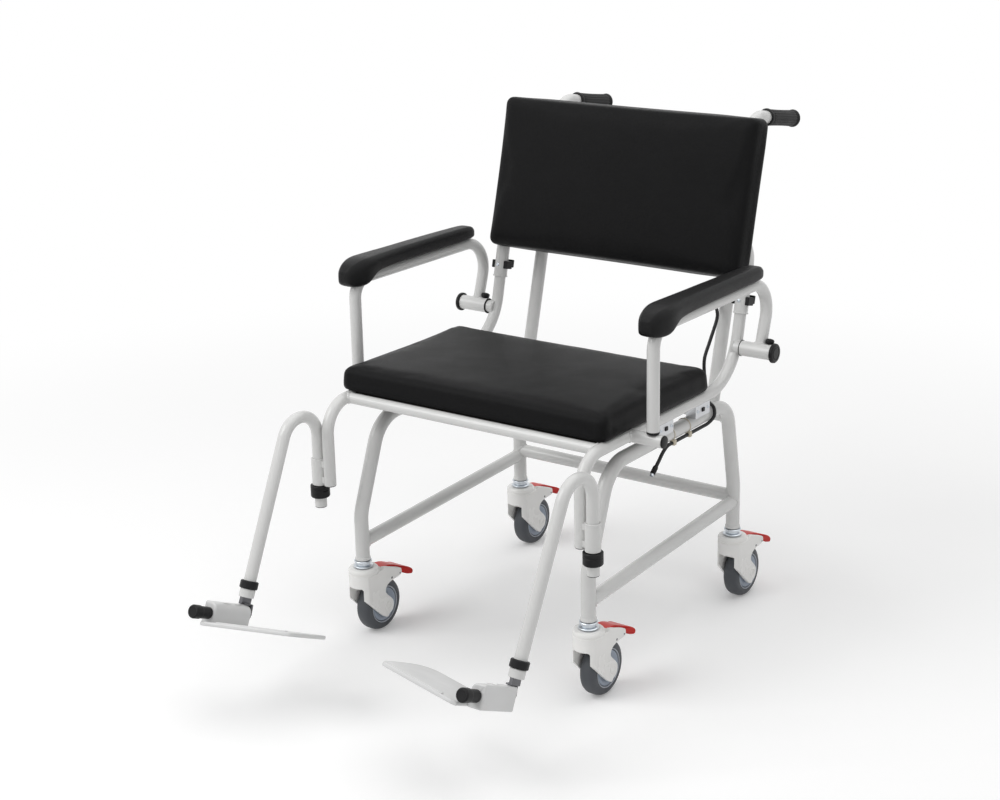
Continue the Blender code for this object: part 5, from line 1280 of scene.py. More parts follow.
def castor_housing_shape():
    """The plastic fork of a castor, about its swivel's axis on the floor."""
    outline = [Vector((x, y, 0)) for x, y in from_shares(HOUSING_OUTLINE_SHARES)]
    smooth = [(p.x, p.y) for p in smooth_path([*outline, outline[0]], 0.003)[:-1]]
    body = Shape("castor_plastic").plate(smooth, HOUSING_WIDTH, side_frame(), HOUSING_EDGE, 3)
    cap = HOUSING_CAP_RADIUS
    half = HOUSING_WIDTH / 2 + 0.01
    front = [(-cap * math.cos(a), -cap * math.sin(a)) for a in (math.pi * k / 16 for k in range(17))]
    keep = [*front, (half, 0), (half, 0.12), (-half, 0.12), (-half, 0)]
    trim = Shape("castor_plastic").skin([[(x, y, z) for x, y in keep] for z in (-0.01, 0.2)])
    axle = placed((0, WHEEL_TRAIL, WHEEL_RADIUS), None, (1, 0, 0))
    inner = HOUSING_SLOT / 2
    room = WHEEL_RADIUS + WELL_CLEARANCE
    well = Shape("castor_plastic").turned(((0, -inner), (room, -inner), (room, inner), (0, inner)), axle, 64)
    slot = Shape("castor_plastic").box((HOUSING_SLOT - 0.001, 0.060, 0.085),
                                       Matrix.Translation((0, cap + 0.031, 0.1245)), 0.002)
    arch = Shape("castor_plastic").plate(
        softened(((-0.06, 0.02), (0.0, 0.02), (0.0, ARCH_TOP_Z), (-0.06, ARCH_TOP_Z)), 0),
        HOUSING_SLOT - 0.002, side_frame(), 0.004)
    cuts = ((trim, "INTERSECT"), (well, "DIFFERENCE"), (slot, "DIFFERENCE"), (arch, "DIFFERENCE"))
    result = carved(body, cuts, 0.0007)
    result.turned((*around(0, HOUSING_TOP_Z, (0, -0.0006), (0.0185, -0.0006), (0.0195, 0)),
                   *around(cap, HOUSING_TOP_Z, (-0.0042, -0.0002), (-0.0018, -0.0012), (-0.0004, -0.0032),
                           (0, -0.0052)),
                   *around(cap, 0, (0, 0.1290), (-0.0009, 0.1284), (-0.0010, 0.1258), (-0.0001, 0.1252),
                           (-0.0001, 0.1246), (-0.0016, 0.1238)), (0, 0.1238)), Matrix(), 56)
    face = HOUSING_WIDTH / 2
    for sign in (1, -1):
        hub = placed((0, WHEEL_TRAIL, WHEEL_RADIUS), None, (sign, 0, 0))
        result.use("castor_plastic")
        result.turned(around(0, face, (0.0085, -0.001), (0.0085, 0.0004), (0.0078, 0.0009), (0.0062, 0.0009),
                             (0.0060, -0.001)), hub, ring=True)
        result.use("dark_steel")
        result.turned(around(0, face, (0, -0.0002), (0.0040, -0.0002), (0.0048, -0.0008), (0.0048, -0.003),
                             (0, -0.003)), hub, 24)
        for y, z, steps in FORK_PINS:
            result.turned(around(0, face, *steps), placed((0, y, z), None, (sign, 0, 0)), 20)
    end = face - 0.002
    result.turned(((0, -end), (0.004, -end), (0.004, end), (0, end)), axle, 20)
    result.use("black_plastic")
    shoe = from_shares(((0.78, 1.93), (1.12, 1.83), (1.28, 1.70), (1.16, 1.66), (0.92, 1.82), (0.76, 1.88)))
    result.plate(softened(shoe, 0.0012, 2), 0.022, side_frame(), 0.001)
    return result


def castor_wheel_shape():
    """A wheel about its axle along the local Z: rounded tyre, light ring, groove and hub."""
    half = WHEEL_WIDTH / 2
    outer = WHEEL_RADIUS
    wheel = Shape("tyre_rubber")
    side = (*around(0, half, (0.0350, -0.0006), (0.0385, -0.0001)),
            *around(outer, half, (-0.0065, -0.0012), (-0.0030, -0.0036), (-0.0010, -0.0070),
                    (-0.0002, -0.0105)))
    profile = [*side, (outer, 0)]
    profile += [(radius, -height) for radius, height in reversed(side)]
    wheel.turned([*profile, (0.0335, -half + 0.004), (0.0335, half - 0.004)], Matrix(), 96, ring=True)
    for sign in (1, -1):
        at = Matrix() if sign > 0 else Matrix.Rotation(math.pi, 4, "X")
        for finish, steps in WHEEL_RINGS:
            wheel.use(finish)
            wheel.turned(around(0, half, *steps), at, 72, ring=True)
        for a in turns(6):
            spot = at @ Matrix.Rotation(a, 4, "Z") @ Matrix.Translation((0.0215, 0, half - 0.0026))
            wheel.box((0.0110, 0.0022, 0.0018), spot, 0.0008)
    return wheel


def castor_pedal_shape():
    """The brake pedal: a bar with a wide wavy tip, about the castor's swivel axis on the floor."""
    outline = [Vector((x, y, 0)) for x, y in from_shares(PEDAL_OUTLINE_SHARES)]
    smooth = [(p.x, p.y) for p in smooth_path([*outline, outline[0]], 0.0022)[:-1]]
    half = PEDAL_WIDTH / 2
    wide = PEDAL_TIP_WIDTH / 2 - half
    edge = 0.0022
    rings = []
    for side, a in rim_steps(3):
        ring = []
        for x, y in inset(smooth, edge * (1 - math.sin(a))):
            tip = max(0, min(1, (x - 0.078) / 0.022))
            flare = wide * tip * tip * (3 - 2 * tip)
            ring.append((x, y, side * (half + flare - edge + edge * math.cos(a))))
        rings.append(ring)
    return Shape("pedal_plastic").skin(rings, side_frame())


def build_castors():
    """Four swivelling castors: fork, stem, wheel and brake pedal, one mesh of each for all four."""
    housing = mesh_of("castor_fork", castor_housing_shape(), math.radians(32))
    wheel = mesh_of("castor_rolling_wheel", castor_wheel_shape())
    pedal = mesh_of("castor_brake_pedal", castor_pedal_shape())
    top = HOUSING_TOP_Z + 0.0004
    rim = HOOP_RADIUS + 0.0034
    stem = Shape("zinc_plate").turned(
        (*around(0, HOOP_END_Z, (0, 0.008), (0.0098, 0.008), (0.0098, -0.0010)),
         *around(rim, HOOP_END_Z, (-0.0008, -0.0012), (0, -0.0020), (0, -0.0040), (-0.0008, -0.0048)),
         (0.0125, HOOP_END_Z - 0.0050), (0.0125, top + 0.0048), (0.0150, top + 0.0046),
         *around(FLANGE_RADIUS, top, (-0.0006, 0.0034), (0, 0.0028), (0, 0.0018), (-0.0006, 0.0012)),
         (0.0158, top + 0.0010), (0.0158, top), (STEM_RADIUS, top), (STEM_RADIUS, top - 0.011),
         (0, top - 0.011)),
        Matrix(), 48)
    stem_data = mesh_of("castor_stem_turned", stem)
    for side, sign in SIDES:
        for end, y in ENDS:
            spot = f"{end}_{side}"
            foot = Matrix.Translation((sign * CASTOR_X, y, 0))
            axle = placed((sign * CASTOR_X, y + WHEEL_TRAIL, WHEEL_RADIUS), (0, 1, 0), (1, 0, 0))
            flat_shaded(place(f"castor_fork_{spot}", housing, f"castor_{spot}",
                              [f"castor_housing_{spot}"], foot))
            place(f"castor_stem_turned_{spot}", stem_data, "base", [f"castor_stem_{spot}"],
                  foot)
            place(f"castor_tyre_{spot}", wheel, f"wheel_{spot}", [f"castor_wheel_{spot}"],
                  axle)
            flat_shaded(place(f"castor_pedal_{spot}", pedal, f"pedal_{spot}",
                              [f"brake_pedal_{spot}"], foot))


# Footrests

def leg_heading(x):
    inward = -math.copysign(FOOTREST_TOE_IN, x)
    return Vector((inward, -math.sin(FOOTREST_LEAN), -math.cos(FOOTREST_LEAN))).normalized()


def leg_point(x, run):
    corner = Vector((x, FOOTREST_Y - FOOTREST_REACH, FOOTREST_TOP_Z))
    return corner + run * leg_heading(x)


def hinge_frame(sign):
    """The frame of a footplate: local Y forward along the hinge, Z up across it."""
    up, back = leaning(HINGE_RISE)
    forward = -back
    turn = Matrix((forward.cross(up), forward, up)).transposed()
    return Matrix.Translation((sign * HINGE_X, HINGE_Y, HINGE_Z)) @ turn.to_4x4()


def build_footrests():
    """Both swinging legs with their sliding feet, hinged plates and front bumpers."""
    for side, sign in SIDES:
        x = sign * FOOTREST_X
        build_leg(side, x)
        build_slider(side, sign, x)
        build_plate(side, sign)


def build_leg(side, x):
    """The bent leg with its two collars and the plug in its stub."""
    radius = FOOTREST_RADIUS
    corners = ((Vector((x, FOOTREST_Y, FOOTREST_STUB_Z)), 0),
               (Vector((x, FOOTREST_Y, FOOTREST_TOP_Z)), FOOTREST_BEND),
               (leg_point(x, 0), FOOTREST_BEND), (leg_point(x, FOOTREST_LEG_LENGTH - 0.004), 0))
    path = rounded_path(corners, math.radians(5))
    leg = Shape("frame_paint").tube(path, radius)
    leg.use("black_plastic")
    top = FOOTREST_SLEEVE_FOOT_Z - 0.0006
    outer = FOOTREST_COLLAR_RADIUS
    foot = top - FOOTREST_COLLAR_HEIGHT
    leg.turned((*around(radius, top, (-0.001, -0.0004)),
                *around(outer, top, (-0.0012, -0.0004), (0, -0.0016), (0, -0.0075), (-0.0008, -0.0083),
                        (-0.0008, -0.0092), (0, -0.0100)),
                *around(outer, foot, (0, 0.0016), (-0.0012, 0)), (radius - 0.001, foot)),
               Matrix.Translation((x, FOOTREST_Y, 0)), 40, ring=True)
    plug(leg, (x, FOOTREST_Y, FOOTREST_STUB_Z), (0, 0, -1), radius, 0.002)
    at = placed(leg_point(x, FOOTREST_LEG_LENGTH), (1, 0, 0), -leg_heading(x))
    outer = LEG_COLLAR_RADIUS
    leg.turned(((0.004, 0), *around(outer, 0, (-0.0012, 0), (0, 0.0012)),
                *around(outer, LEG_COLLAR_HEIGHT, (0, -0.0015), (-0.0015, 0)),
                (radius - 0.001, LEG_COLLAR_HEIGHT)),
               at, 40)
    piece(f"footrest_tube_{side}", leg, f"footrest_{side}", [f"footrest_leg_{side}"])


def build_slider(side, sign, x):
    """Knuckle under the leg, with a clevis that holds the footplate's hinge block."""
    at = placed(leg_point(x, FOOTREST_LEG_LENGTH + 0.0002), (1, 0, 0), -leg_heading(x))
    slider = Shape("zinc_plate")
    slider.turned(((0, 0.099), (0.0068, 0.099), (0.0072, 0.098), (0.0072, 0), (0, 0)), at, 24)
    slider.use("frame_paint")
    slider.turned(((0, -0.0002), *around(KNUCKLE_RADIUS, 0, (-0.0010, -0.0002), (0, -0.0012)),
                   *around(KNUCKLE_RADIUS, -KNUCKLE_HEIGHT, (0, -0.0004), (-0.0012, -0.0012),
                           (-0.0030, -0.0002)),
                   (0, -KNUCKLE_HEIGHT)), at, 36)
    slider.use("dark_steel")
    hinge = hinge_frame(sign)
    top = BLOCK_HEIGHT / 2 + 0.0006
    local = hinge.inverted() @ leg_point(x, FOOTREST_LEG_LENGTH + KNUCKLE_HEIGHT)
    reach = local.y + KNUCKLE_RADIUS
    neck = local.z - top + 0.001
    slider.box((0.007, 2 * KNUCKLE_RADIUS - 0.002, neck), hinge @ Matrix.Translation((local.x, local.y,
                                                                                      top + neck / 2)),
               0.0012)
    slider.box((STRAP_WIDTH * 0.62, reach * 0.66, STRAP_THICKNESS * 0.6),
               hinge @ Matrix.Translation((0, reach * 0.33 - 0.001, top + STRAP_THICKNESS * 0.30)), 0.0008,
               0.003)
    flank = [(-0.0090, top + STRAP_THICKNESS * 0.7), (0.0090, top + STRAP_THICKNESS * 0.7), (0.0105, 0.006),
             (0.0070, -0.0090),
             (-0.0070, -0.0090), (-0.0105, 0.006)]
    slider.plate(softened(flank, 0.002, 3), STRAP_THICKNESS,
                 hinge @ placed((0, -0.0006 - STRAP_THICKNESS / 2, 0), (1, 0, 0), (0, -1, 0)), 0.0008)
    slider.screw(0.0046, hinge @ placed((0, -0.0006 - STRAP_THICKNESS, 0), None, (0, -1, 0)))
    slider.use("zinc_plate")
    pin = hinge @ placed((0, 0, 0), None, (0, 1, 0))
    slider.turned(((0, 0), (0.0034, 0), (0.0034, 0.082), (0, 0.082)), pin, 20)
    piece(f"footrest_knuckle_{side}", slider, f"slider_{side}", [f"footrest_slider_{side}"])


def build_plate(side, sign):
    """Hinge block and plate with its low front rim and two bare places for labels."""
    hinge = hinge_frame(sign)
    inward = 1 if (hinge.to_3x3() @ Vector((1, 0, 0))).x * sign < 0 else -1
    half = BLOCK_WIDTH / 2
    tall = BLOCK_HEIGHT / 2
    section = rounded_outline(((-half, -tall, BLOCK_EDGE), (half, -tall, BLOCK_EDGE),
                               (half, tall, BLOCK_ROUND), (-half, tall, BLOCK_EDGE)), 6)
    block = Shape("footplate_plastic")
    along = hinge @ Matrix(((inward, 0, 0, 0), (0, 0, 1, BLOCK_LENGTH / 2 + 0.0002), (0, 1, 0, 0),
                            (0, 0, 0, 1)))
    block.plate(section, BLOCK_LENGTH, along, 0.0038, 4)
    root = Matrix.Translation((inward * (half - 0.001), 0, -tall + PLATE_THICKNESS / 2))
    tread_at = hinge @ root @ Matrix.Rotation(-inward * PLATE_RAISE, 4, "Y")
    outline, rim = (
        [(p.x, p.y) for p in smooth_path(
            [Vector((inward * u * PLATE_LENGTH, v * BLOCK_LENGTH, 0)) for u, v in shares], 0.006)]
        for shares in (PLATE_SHARES, PLATE_RIM_SHARES))
    block.plate(outline, PLATE_THICKNESS, tread_at, 0.0022, 3)
    band = rim + [(x, y - PLATE_RIM) for x, y in reversed(rim)]
    lip = PLATE_RIM_HEIGHT * 0.3
    block.plate(band, PLATE_THICKNESS + lip, tread_at @ Matrix.Translation((0, 0, lip / 2)), 0.0014, 3)
    block.use("blank_label")
    for place_along in (0.32, 0.62):
        spot = hinge @ Matrix.Translation((-inward * 0.001, place_along * BLOCK_LENGTH, tall + 0.0001))
        block.box((0.0125, 0.0165, 0.0004), spot, 0.0001, 0.0015)
    piece(f"footplate_tread_{side}", block, f"footplate_{side}", [f"footplate_{side}"])
    bumper = Shape("black_plastic")
    radius = BUMPER_RADIUS - 0.0012
    end = BUMPER_LENGTH - 0.0015
    bumper.turned(((0, 0.0002), *around(radius, 0, (-0.0024, 0.0002), (-0.0014, 0.0012)),
                   (radius - 0.0012, end * 0.58), (radius - 0.0004, end * 0.60), (radius, end * 0.63),
                   *around(radius, end, (0, -0.0022), (-0.0006, -0.0008), (-0.0020, 0), (-0.0032, 0),
                           (-0.0040, -0.0007)), (0, end - 0.0009)),
                  hinge @ placed((0, BLOCK_LENGTH + 0.0004, 0), None, (0, 1, 0)), 40)
    piece(f"foot_bumper_cap_{side}", bumper, f"footplate_{side}", [f"foot_bumper_{side}"])


# Indicator, its bracket and its cable

SEGMENTS = {"a": (0, 1, 1), "b": (1, 0.5, 0), "c": (1, -0.5, 0), "d": (0, -1, 1), "e": (-1, -0.5, 0),
            "f": (-1, 0.5, 0),
            "g": (0, 0, 1)}
LIT = {"0": "abcdef", "1": "bc", "2": "abged", "3": "abgcd", "4": "fgbc", "5": "afgcd", "6": "afgedc",
       "7": "abc",
       "8": "abcdefg", "9": "abcdfg"}


def digits(shape, text, at, height, bar):
    """Plain seven-segment numbers, centred on a frame whose X runs to the right and Y up."""
    half = height / 2 - bar / 2
    wide = height * 0.25
    step = 2 * wide + 3.2 * bar
    start = -step * (len(text.replace(".", "")) - 1) / 2
    for mark in text:
        if mark == ".":
            shape.box((bar, bar, 0.0003), at @ Matrix.Translation((start - step / 2, -half, 0)), 0.0001)
            continue
        for name in LIT[mark]:
            across, up, lying = SEGMENTS[name]
            size = (2 * wide - bar * 0.3, bar, 0.0003) if lying else (bar, half - bar * 0.3, 0.0003)
            shape.box(size, at @ Matrix.Translation((start + across * wide, up * half, 0)), 0.0001,
                      bar * 0.35)
        start += step


def on_face(x, z, out):
    """A frame on the indicator's face, as its reader sees it: X to the right, Y up, Z towards the reader."""
    return case_frame() @ placed((x, out, z), (-1, 0, 0), (0, 1, 0))


def case_frame():
    return Matrix.Translation((0, CASE_Y, CASE_Z)) @ Matrix.Rotation(CASE_TILT, 4, "X")


def window_faces(out):
    """Width, height and frame of each window, at a distance out from the middle of the case."""
    return [(to_x - from_x, to_z - from_z, on_face((from_x + to_x) / 2, (from_z + to_z) / 2, out))
            for from_x, to_x, from_z, to_z in WINDOWS]


def shell_rings(steps):
    """Rings of a rounded case from (half width less this, half height less this, way out) steps."""
    rings = []
    for less, out in steps:
        outline = rectangle(CASE_WIDTH - 2 * less, CASE_HEIGHT - 2 * less, max(0.010 - less, 0.003), 6)
        rings.append([(x, out, z) for x, z in outline])
    return rings


def build_indicator(reading, second_reading):
    """The two shells, the windows with plain numbers, the keypad and the lamp."""
    face = CASE_DEPTH / 2
    back = -face
    split = back + CASE_DEPTH * CASE_SPLIT_SHARE
    front = Shape("case_plastic").skin(shell_rings((
        (0.0015, split + 0.0004), (0.0003, split + 0.0012), (0, split + 0.004), (0.0004, face - 0.004),
        (0.0016, face - 0.0014), (0.0036, face), (0.0056, face - 0.0002), (0.0066, face - 0.0016))),
        Matrix())
    pockets = []
    for from_x, to_x, from_z, to_z in WINDOWS:
        pocket = Shape("case_plastic").box((to_x - from_x, to_z - from_z, 0.010), placed(
            ((from_x + to_x) / 2, face + 0.0008, (from_z + to_z) / 2), (-1, 0, 0), (0, 1, 0)), 0.001, 0.003)
        pockets.append((pocket, "DIFFERENCE"))
    front = carved(front, pockets)
    front.mesh.transform(case_frame())
    front.use("case_face")
    lip = on_face(0, -CASE_HEIGHT / 2 + 0.0115, face - 0.0014)
    front.box((CASE_WIDTH - 0.018, 0.0090, 0.0016), lip, 0.0007, 0.003)
    front.use("display_digit")
    for wide, high, at in window_faces(face):
        outer = rectangle(wide + 0.005, high + 0.005, 0.0045)
        inner = rectangle(wide + 0.0006, high + 0.0006, 0.003)
        levels = ((outer, -0.0014), (outer, -0.0010), (inner, -0.0010), (inner, -0.0030), (outer, -0.0030))
        front.skin([[(x, y, z) for x, y in line] for line, z in levels], at, closed_length=True)
    front.use("pedal_plastic")
    front.turned(((0, 0.0012), (0.0012, 0.0010), (0.0019, 0), (0.0019, -0.002), (0, -0.002)),
                 on_face(0.1093, 0.0543, face - 0.0012), 20)
    piece("indicator_face_shell", front, "base", ["indicator_front_shell"])
    panes = Shape("display_glass")
    pane_out = face - 0.0032
    for wide, high, at in window_faces(pane_out):
        panes.box((wide + 0.002, high + 0.002, 0.001), at, 0.0002, 0.003)
    panes.use("display_digit")
    texts = (reading, second_reading)
    for (_, high, at), text, share in zip(window_faces(pane_out + 0.0006), texts, (0.66, 0.46)):
        digits(panes, text, at, high * share, high * share * 0.11)
    piece("indicator_displays", panes, "base", ["indicator_window"])
    build_keypad(face)
    rear = Shape("case_plastic").skin(shell_rings((
        (0.0070, back), (0.0030, back + 0.0008), (0.0008, back + 0.0040), (0, back + 0.0080),
        (0, split - 0.003),
        (0.0004, split - 0.0006), (0.0020, split - 0.0002))), case_frame())
    for across in (-1, 1):
        for up in (-1, 1):
            spot = (across * (CASE_WIDTH / 2 - 0.014), back + 0.0004, up * (CASE_HEIGHT / 2 - 0.013))
            rear.screw(0.0030, case_frame() @ placed(spot, None, (0, -1, 0)))
    for k in range(9):
        vent = case_frame() @ placed((0, back - 0.0001, 0.030 - 0.0055 * k), (1, 0, 0), (0, -1, 0))
        rear.box((0.050, 0.0022, 0.0010), vent, 0.0004)
    gland = case_frame() @ placed((GLAND_X, (back + split) / 2, -CASE_HEIGHT / 2), None, (0, 0, -1))
    rear.use("black_plastic")
    size = GLAND_RADIUS
    rear.turned(((size + 0.0012, -0.002), (size + 0.0012, 0.0035), (size, 0.0042), (0, 0.0042)), gland, 6)
    rear.turned(((size, 0.003), (size, 0.0085), (size - 0.0014, GLAND_LENGTH - 0.0006),
                 (0.0034, GLAND_LENGTH),
                 (0, GLAND_LENGTH)), gland, 24)
    piece("indicator_back_shell", rear, "base", ["indicator_rear_shell"])
    refinished("indicator_circuit_board", "circuit_green")


def build_keypad(face):
    """A film keypad of four columns and five rows with plain numbers."""
    from_x, to_x, from_z, to_z = KEYPAD
    pad = Shape("keypad_film")
    middle = on_face((from_x + to_x) / 2, (from_z + to_z) / 2, face + 0.0002)
    pad.box((to_x - from_x, to_z - from_z, 0.0014), middle, 0.0004, 0.003)
    wide = (to_x - from_x - 0.004) / 4
    high = (to_z - from_z - 0.004) / 5
    marks = ("    ", " 123", " 456", " 789", "  0 ")
    for row in range(5):
        for column in range(4):
            mark = marks[row][column]
            spot = middle @ Matrix.Translation(((column - 1.5) * wide, (2 - row) * high, 0.0009))
            pad.use("key_white" if mark.strip() else "keypad_film")
            pad.box((wide - 0.0022, high - 0.0022, 0.0010), spot, 0.0004, 0.0022)
            if mark.strip():
                pad.use("key_print")
                digits(pad, mark, spot @ Matrix.Translation((0, 0, 0.0006)), high * 0.44, 0.0010)
    piece("indicator_keys", pad, "base", ["indicator_keypad"])


def build_bracket():
    """A cross bar on saddles over the posts, with two arms behind the indicator."""
    bracket = Shape("frame_paint")
    y = post_y(BRACKET_Z)
    lean, out = leaning(POST_LEAN)
    bracket.box((2 * POST_X - POST_DIAMETER - 0.001, BRACKET_BAR_HEIGHT, BRACKET_BAR_THICKNESS),
                placed((0, y, BRACKET_Z), (1, 0, 0), (0, 1, 0)), 0.0008, 0.002)
    for sign in (1, -1):
        bracket.use("zinc_plate")
        for along in (0.0115, -0.0115):
            at = Vector((sign * POST_X, y, BRACKET_Z)) + lean * along
            ring = [at + (POST_DIAMETER / 2 + 0.0016) * (math.cos(a) * Vector((1, 0, 0)) + math.sin(a) * out)
                    for a in turns(32)]
            bracket.tube(ring, 0.0016, 10, closed=True)
        bracket.use("frame_paint")
        rim = [case_frame() @ Vector((0, -CASE_DEPTH / 2 - 0.0004, z))
               for z in (BRACKET_ARM_HALF_HEIGHT, -BRACKET_ARM_HALF_HEIGHT)]
        half = BRACKET_BAR_HEIGHT / 2
        outline = [(y, BRACKET_Z - half), *((p.y, p.z) for p in reversed(rim)), (y, BRACKET_Z + half)]
        bracket.plate(softened(outline, 0.002, 3), BRACKET_ARM_THICKNESS,
                      side_frame((sign * BRACKET_ARM_X, 0, 0)), 0.0006)
        bolt = (sign * BRACKET_ARM_X * 1.6, y - BRACKET_BAR_THICKNESS / 2, BRACKET_Z)
        bracket.screw(0.0042, placed(bolt, None, (0, -1, 0)))
    piece("indicator_mount", bracket, "base", ["indicator_bracket"])


def build_cable():
    """The fixed signal cable with its ties and clips."""
    cable = Shape("cable_jacket").tube(smooth_path(CABLE_ROUTE, 0.006), CABLE_DIAMETER / 2, 14)
    cable.use("clip_nylon")
    around_rail = HOOP_RADIUS + 0.0006
    for y in (-0.006, 0.048):
        cable.box((0.0105, 0.0085, 0.0105), Matrix.Translation((0.2575, y, 0.3950)), 0.0016)
        cable.tube([(CASTOR_X + around_rail * math.cos(a), y, HOOP_TOP_Z + around_rail * math.sin(a))
                    for a in turns(32)], 0.0008, 6, closed=True)
    cable.use("cable_jacket")
    lean, out = leaning(POST_LEAN)
    across = Vector((1, 0, 0))
    for z in (0.645, 0.603):
        centre = Vector((POST_X - 0.004, post_y(z), z))
        cable.tube([centre + 0.0182 * math.cos(a) * across + 0.0140 * math.sin(a) * out
                    for a in turns(32)], 0.0009, 6, closed=True)
        cable.box((0.0055, 0.0045, 0.0045), placed(centre - 0.0200 * across, (1, 0, 0), lean), 0.0008)
    piece("signal_cable_run", cable, "base", ["signal_cable"])


def build_tail():
    """The short free end of the cable, with its connector."""
    route = [Vector(point) for point in TAIL_ROUTE]
    path = smooth_path(route, 0.004)
    tail = piece("cable_tail_jacket", Shape("cable_jacket").tube(path, CABLE_DIAMETER / 2, 14), "base",
                 ["cable_tail"])
    heading = (route[-1] - route[-2]).normalized()
    at = placed(route[-1], None, heading)
    plug_shape = Shape("black_plastic")
    size = CONNECTOR_RADIUS
    plug_shape.turned(((0, -0.0010), (size - 0.0012, -0.0010), (size - 0.0006, 0.0006), (size, 0.0020),
                       (size, 0.0090)),
                      at, 24)
    plug_shape.turned(((size - 0.0006, 0.0090), (size - 0.0006, 0.0102), (size, 0.0106), (size, 0.0150),
                       (size - 0.0008, 0.0158), (0, 0.0158)), at, 24, flutes=10, depth=0.0004)
    plug_shape.use("zinc_plate")
    plug_shape.turned(((0.0034, 0.0155), (0.0034, CONNECTOR_LENGTH), (0.0028, CONNECTOR_LENGTH),
                       (0.0028, 0.0165),
                       (0, 0.0165)), at, 24)
    connector = piece("cable_tail_connector", plug_shape, "base", ["cable_tail"], "cable_jacket")


# Stage

def seen_directly(tree):
    """A node that is 1 where the camera, a gloss or a glass sees the surface."""
    path = node(tree, "LightPath")
    first = math_node(tree, "MAXIMUM")
    seen = math_node(tree, "MAXIMUM")
    wire(tree, path, "Is Camera Ray", first, 0)
    wire(tree, path, "Is Glossy Ray", first, 1)
    wire(tree, first, 0, seen, 0)
    wire(tree, path, "Is Transmission Ray", seen, 1)
    return seen


def floor_material(reach):
    """White floor that keeps the shadow, and fades into the white of the studio."""
    material = bpy.data.materials.new("studio_floor")
    material.use_nodes = True
    tree = material.node_tree
    tree.nodes.remove(tree.nodes["Principled BSDF"])
    end = tree.nodes["Material Output"]
    matte = node(tree, "BsdfDiffuse")
    matte.inputs["Color"].default_value = (0.90, 0.90, 0.90, 1)
    lift = node(tree, "Emission")
    white = node(tree, "Emission")
    seen = seen_directly(tree)
    weight = math_node(tree, "MULTIPLY", None, 0.18)
    place_on = node(tree, "TexCoord")
    far = node(tree, "VectorMath", operation="LENGTH")
    spread = node(tree, "MapRange", interpolation_type="SMOOTHSTEP")
    spread.inputs["From Min"].default_value = reach * 0.25
    spread.inputs["From Max"].default_value = reach
    fade = math_node(tree, "MULTIPLY")
    both = node(tree, "AddShader")
    mix = node(tree, "MixShader")
    wire(tree, seen, 0, weight, 0)
    wire(tree, weight, 0, lift, "Strength")
    wire(tree, place_on, "Object", far, 0)
    wire(tree, far, "Value", spread, "Value")
    wire(tree, spread, "Result", fade, 0)
    wire(tree, seen, 0, fade, 1)
    wire(tree, matte, 0, both, 0)
    wire(tree, lift, 0, both, 1)
    wire(tree, fade, 0, mix, "Fac")
    wire(tree, both, 0, mix, 1)
    wire(tree, white, 0, mix, 2)
    wire(tree, mix, 0, end, "Surface")
    return material


def build_world(strength):
    """Even light from all sides, which looks white where it is seen."""
    world = bpy.data.worlds.new("studio")
    bpy.context.scene.world = world
    world.use_nodes = True
    tree = world.node_tree
    sky = tree.nodes["Background"]
    sky.inputs["Color"].default_value = (1, 1, 1, 1)
    level = node(tree, "MapRange")
    level.inputs["To Min"].default_value = strength
    level.inputs["To Max"].default_value = 1.0
    wire(tree, seen_directly(tree), 0, level, "Value")
    wire(tree, level, "Result", sky, "Strength")


def softbox(name, at, aim, size, power):
    """A square lamp at a place, turned to the point that it lights."""
    data = bpy.data.lights.new(name, "AREA")
    data.shape = "SQUARE"
    data.size = size
    data.energy = power
    lamp = linked(name, data)
    lamp.location = at
    lamp.rotation_euler = (Vector(aim) - Vector(at)).to_track_quat("-Z", "Y").to_euler()


def build_camera():
    """A camera at the photograph's angle and framing."""
    turn, rise, roll = (math.radians(angle) for angle in CAMERA_ANGLES)
    away = Vector((math.sin(turn) * math.cos(rise), -math.cos(turn) * math.cos(rise), math.sin(rise)))
    level = away.cross(Vector((0, 0, -1))).normalized()
    upright = level.cross(-away)
    right = level * math.cos(roll) + upright * math.sin(roll)
    data = bpy.data.cameras.new("camera")
    data.lens = CAMERA_LENS
    data.shift_x, data.shift_y = CAMERA_SHIFT
    data.clip_end = 60
    camera = linked("camera", data)
    turned_to = Matrix((right, right.cross(-away), away)).transposed()
    stand_at = SHIFT + Vector(CAMERA_AIM) + away * CAMERA_DISTANCE
    camera.matrix_world = Matrix.Translation(stand_at) @ turned_to.to_4x4()
    bpy.context.scene.camera = camera


def build_stage(settings):
    """The floor, the light and the camera."""
    data = bpy.data.meshes.new("floor")
    made = bmesh.new()
    bmesh.ops.create_circle(made, cap_ends=True, segments=96, radius=40)
    made.to_mesh(data)
    made.free()
    data.materials.append(floor_material(settings.floor_reach))
    floor = linked("floor", data)
    floor.location = (0, 0, -0.0002)
    build_world(settings.world_strength)
    softbox("key", (-1.6, -2.4, 3.0), (0, 0, 0.5), 2.4, settings.key_power)
    softbox("top", (0.4, 0.6, 3.4), (0, 0, 0.4), 4.0, settings.top_power)
    softbox("side", (3.0, -1.2, 1.9), (0, 0, 0.5), 2.0, settings.side_power)
    bpy.context.scene.view_settings.view_transform = "Standard"
    build_camera()


# Settings

class ChairFinishes(bpy.types.PropertyGroup):
    frame_colour: FloatVectorProperty(name="Frame", description="Colour of the powder coat on the tubes",
                                      subtype="COLOR", size=3, default=FINISHES["frame_paint"]["colour"],
                                      min=0, max=1)
    pad_colour: FloatVectorProperty(name="Upholstery",
                                    description="Colour of the vinyl on seat and backrest",
                                    subtype="COLOR", size=3, default=FINISHES["upholstery"]["colour"],
                                    min=0, max=1)
    pedal_colour: FloatVectorProperty(name="Pedals", description="Colour of the brake pedals",
                                      subtype="COLOR", size=3, default=FINISHES["pedal_plastic"]["colour"],
                                      min=0, max=1)


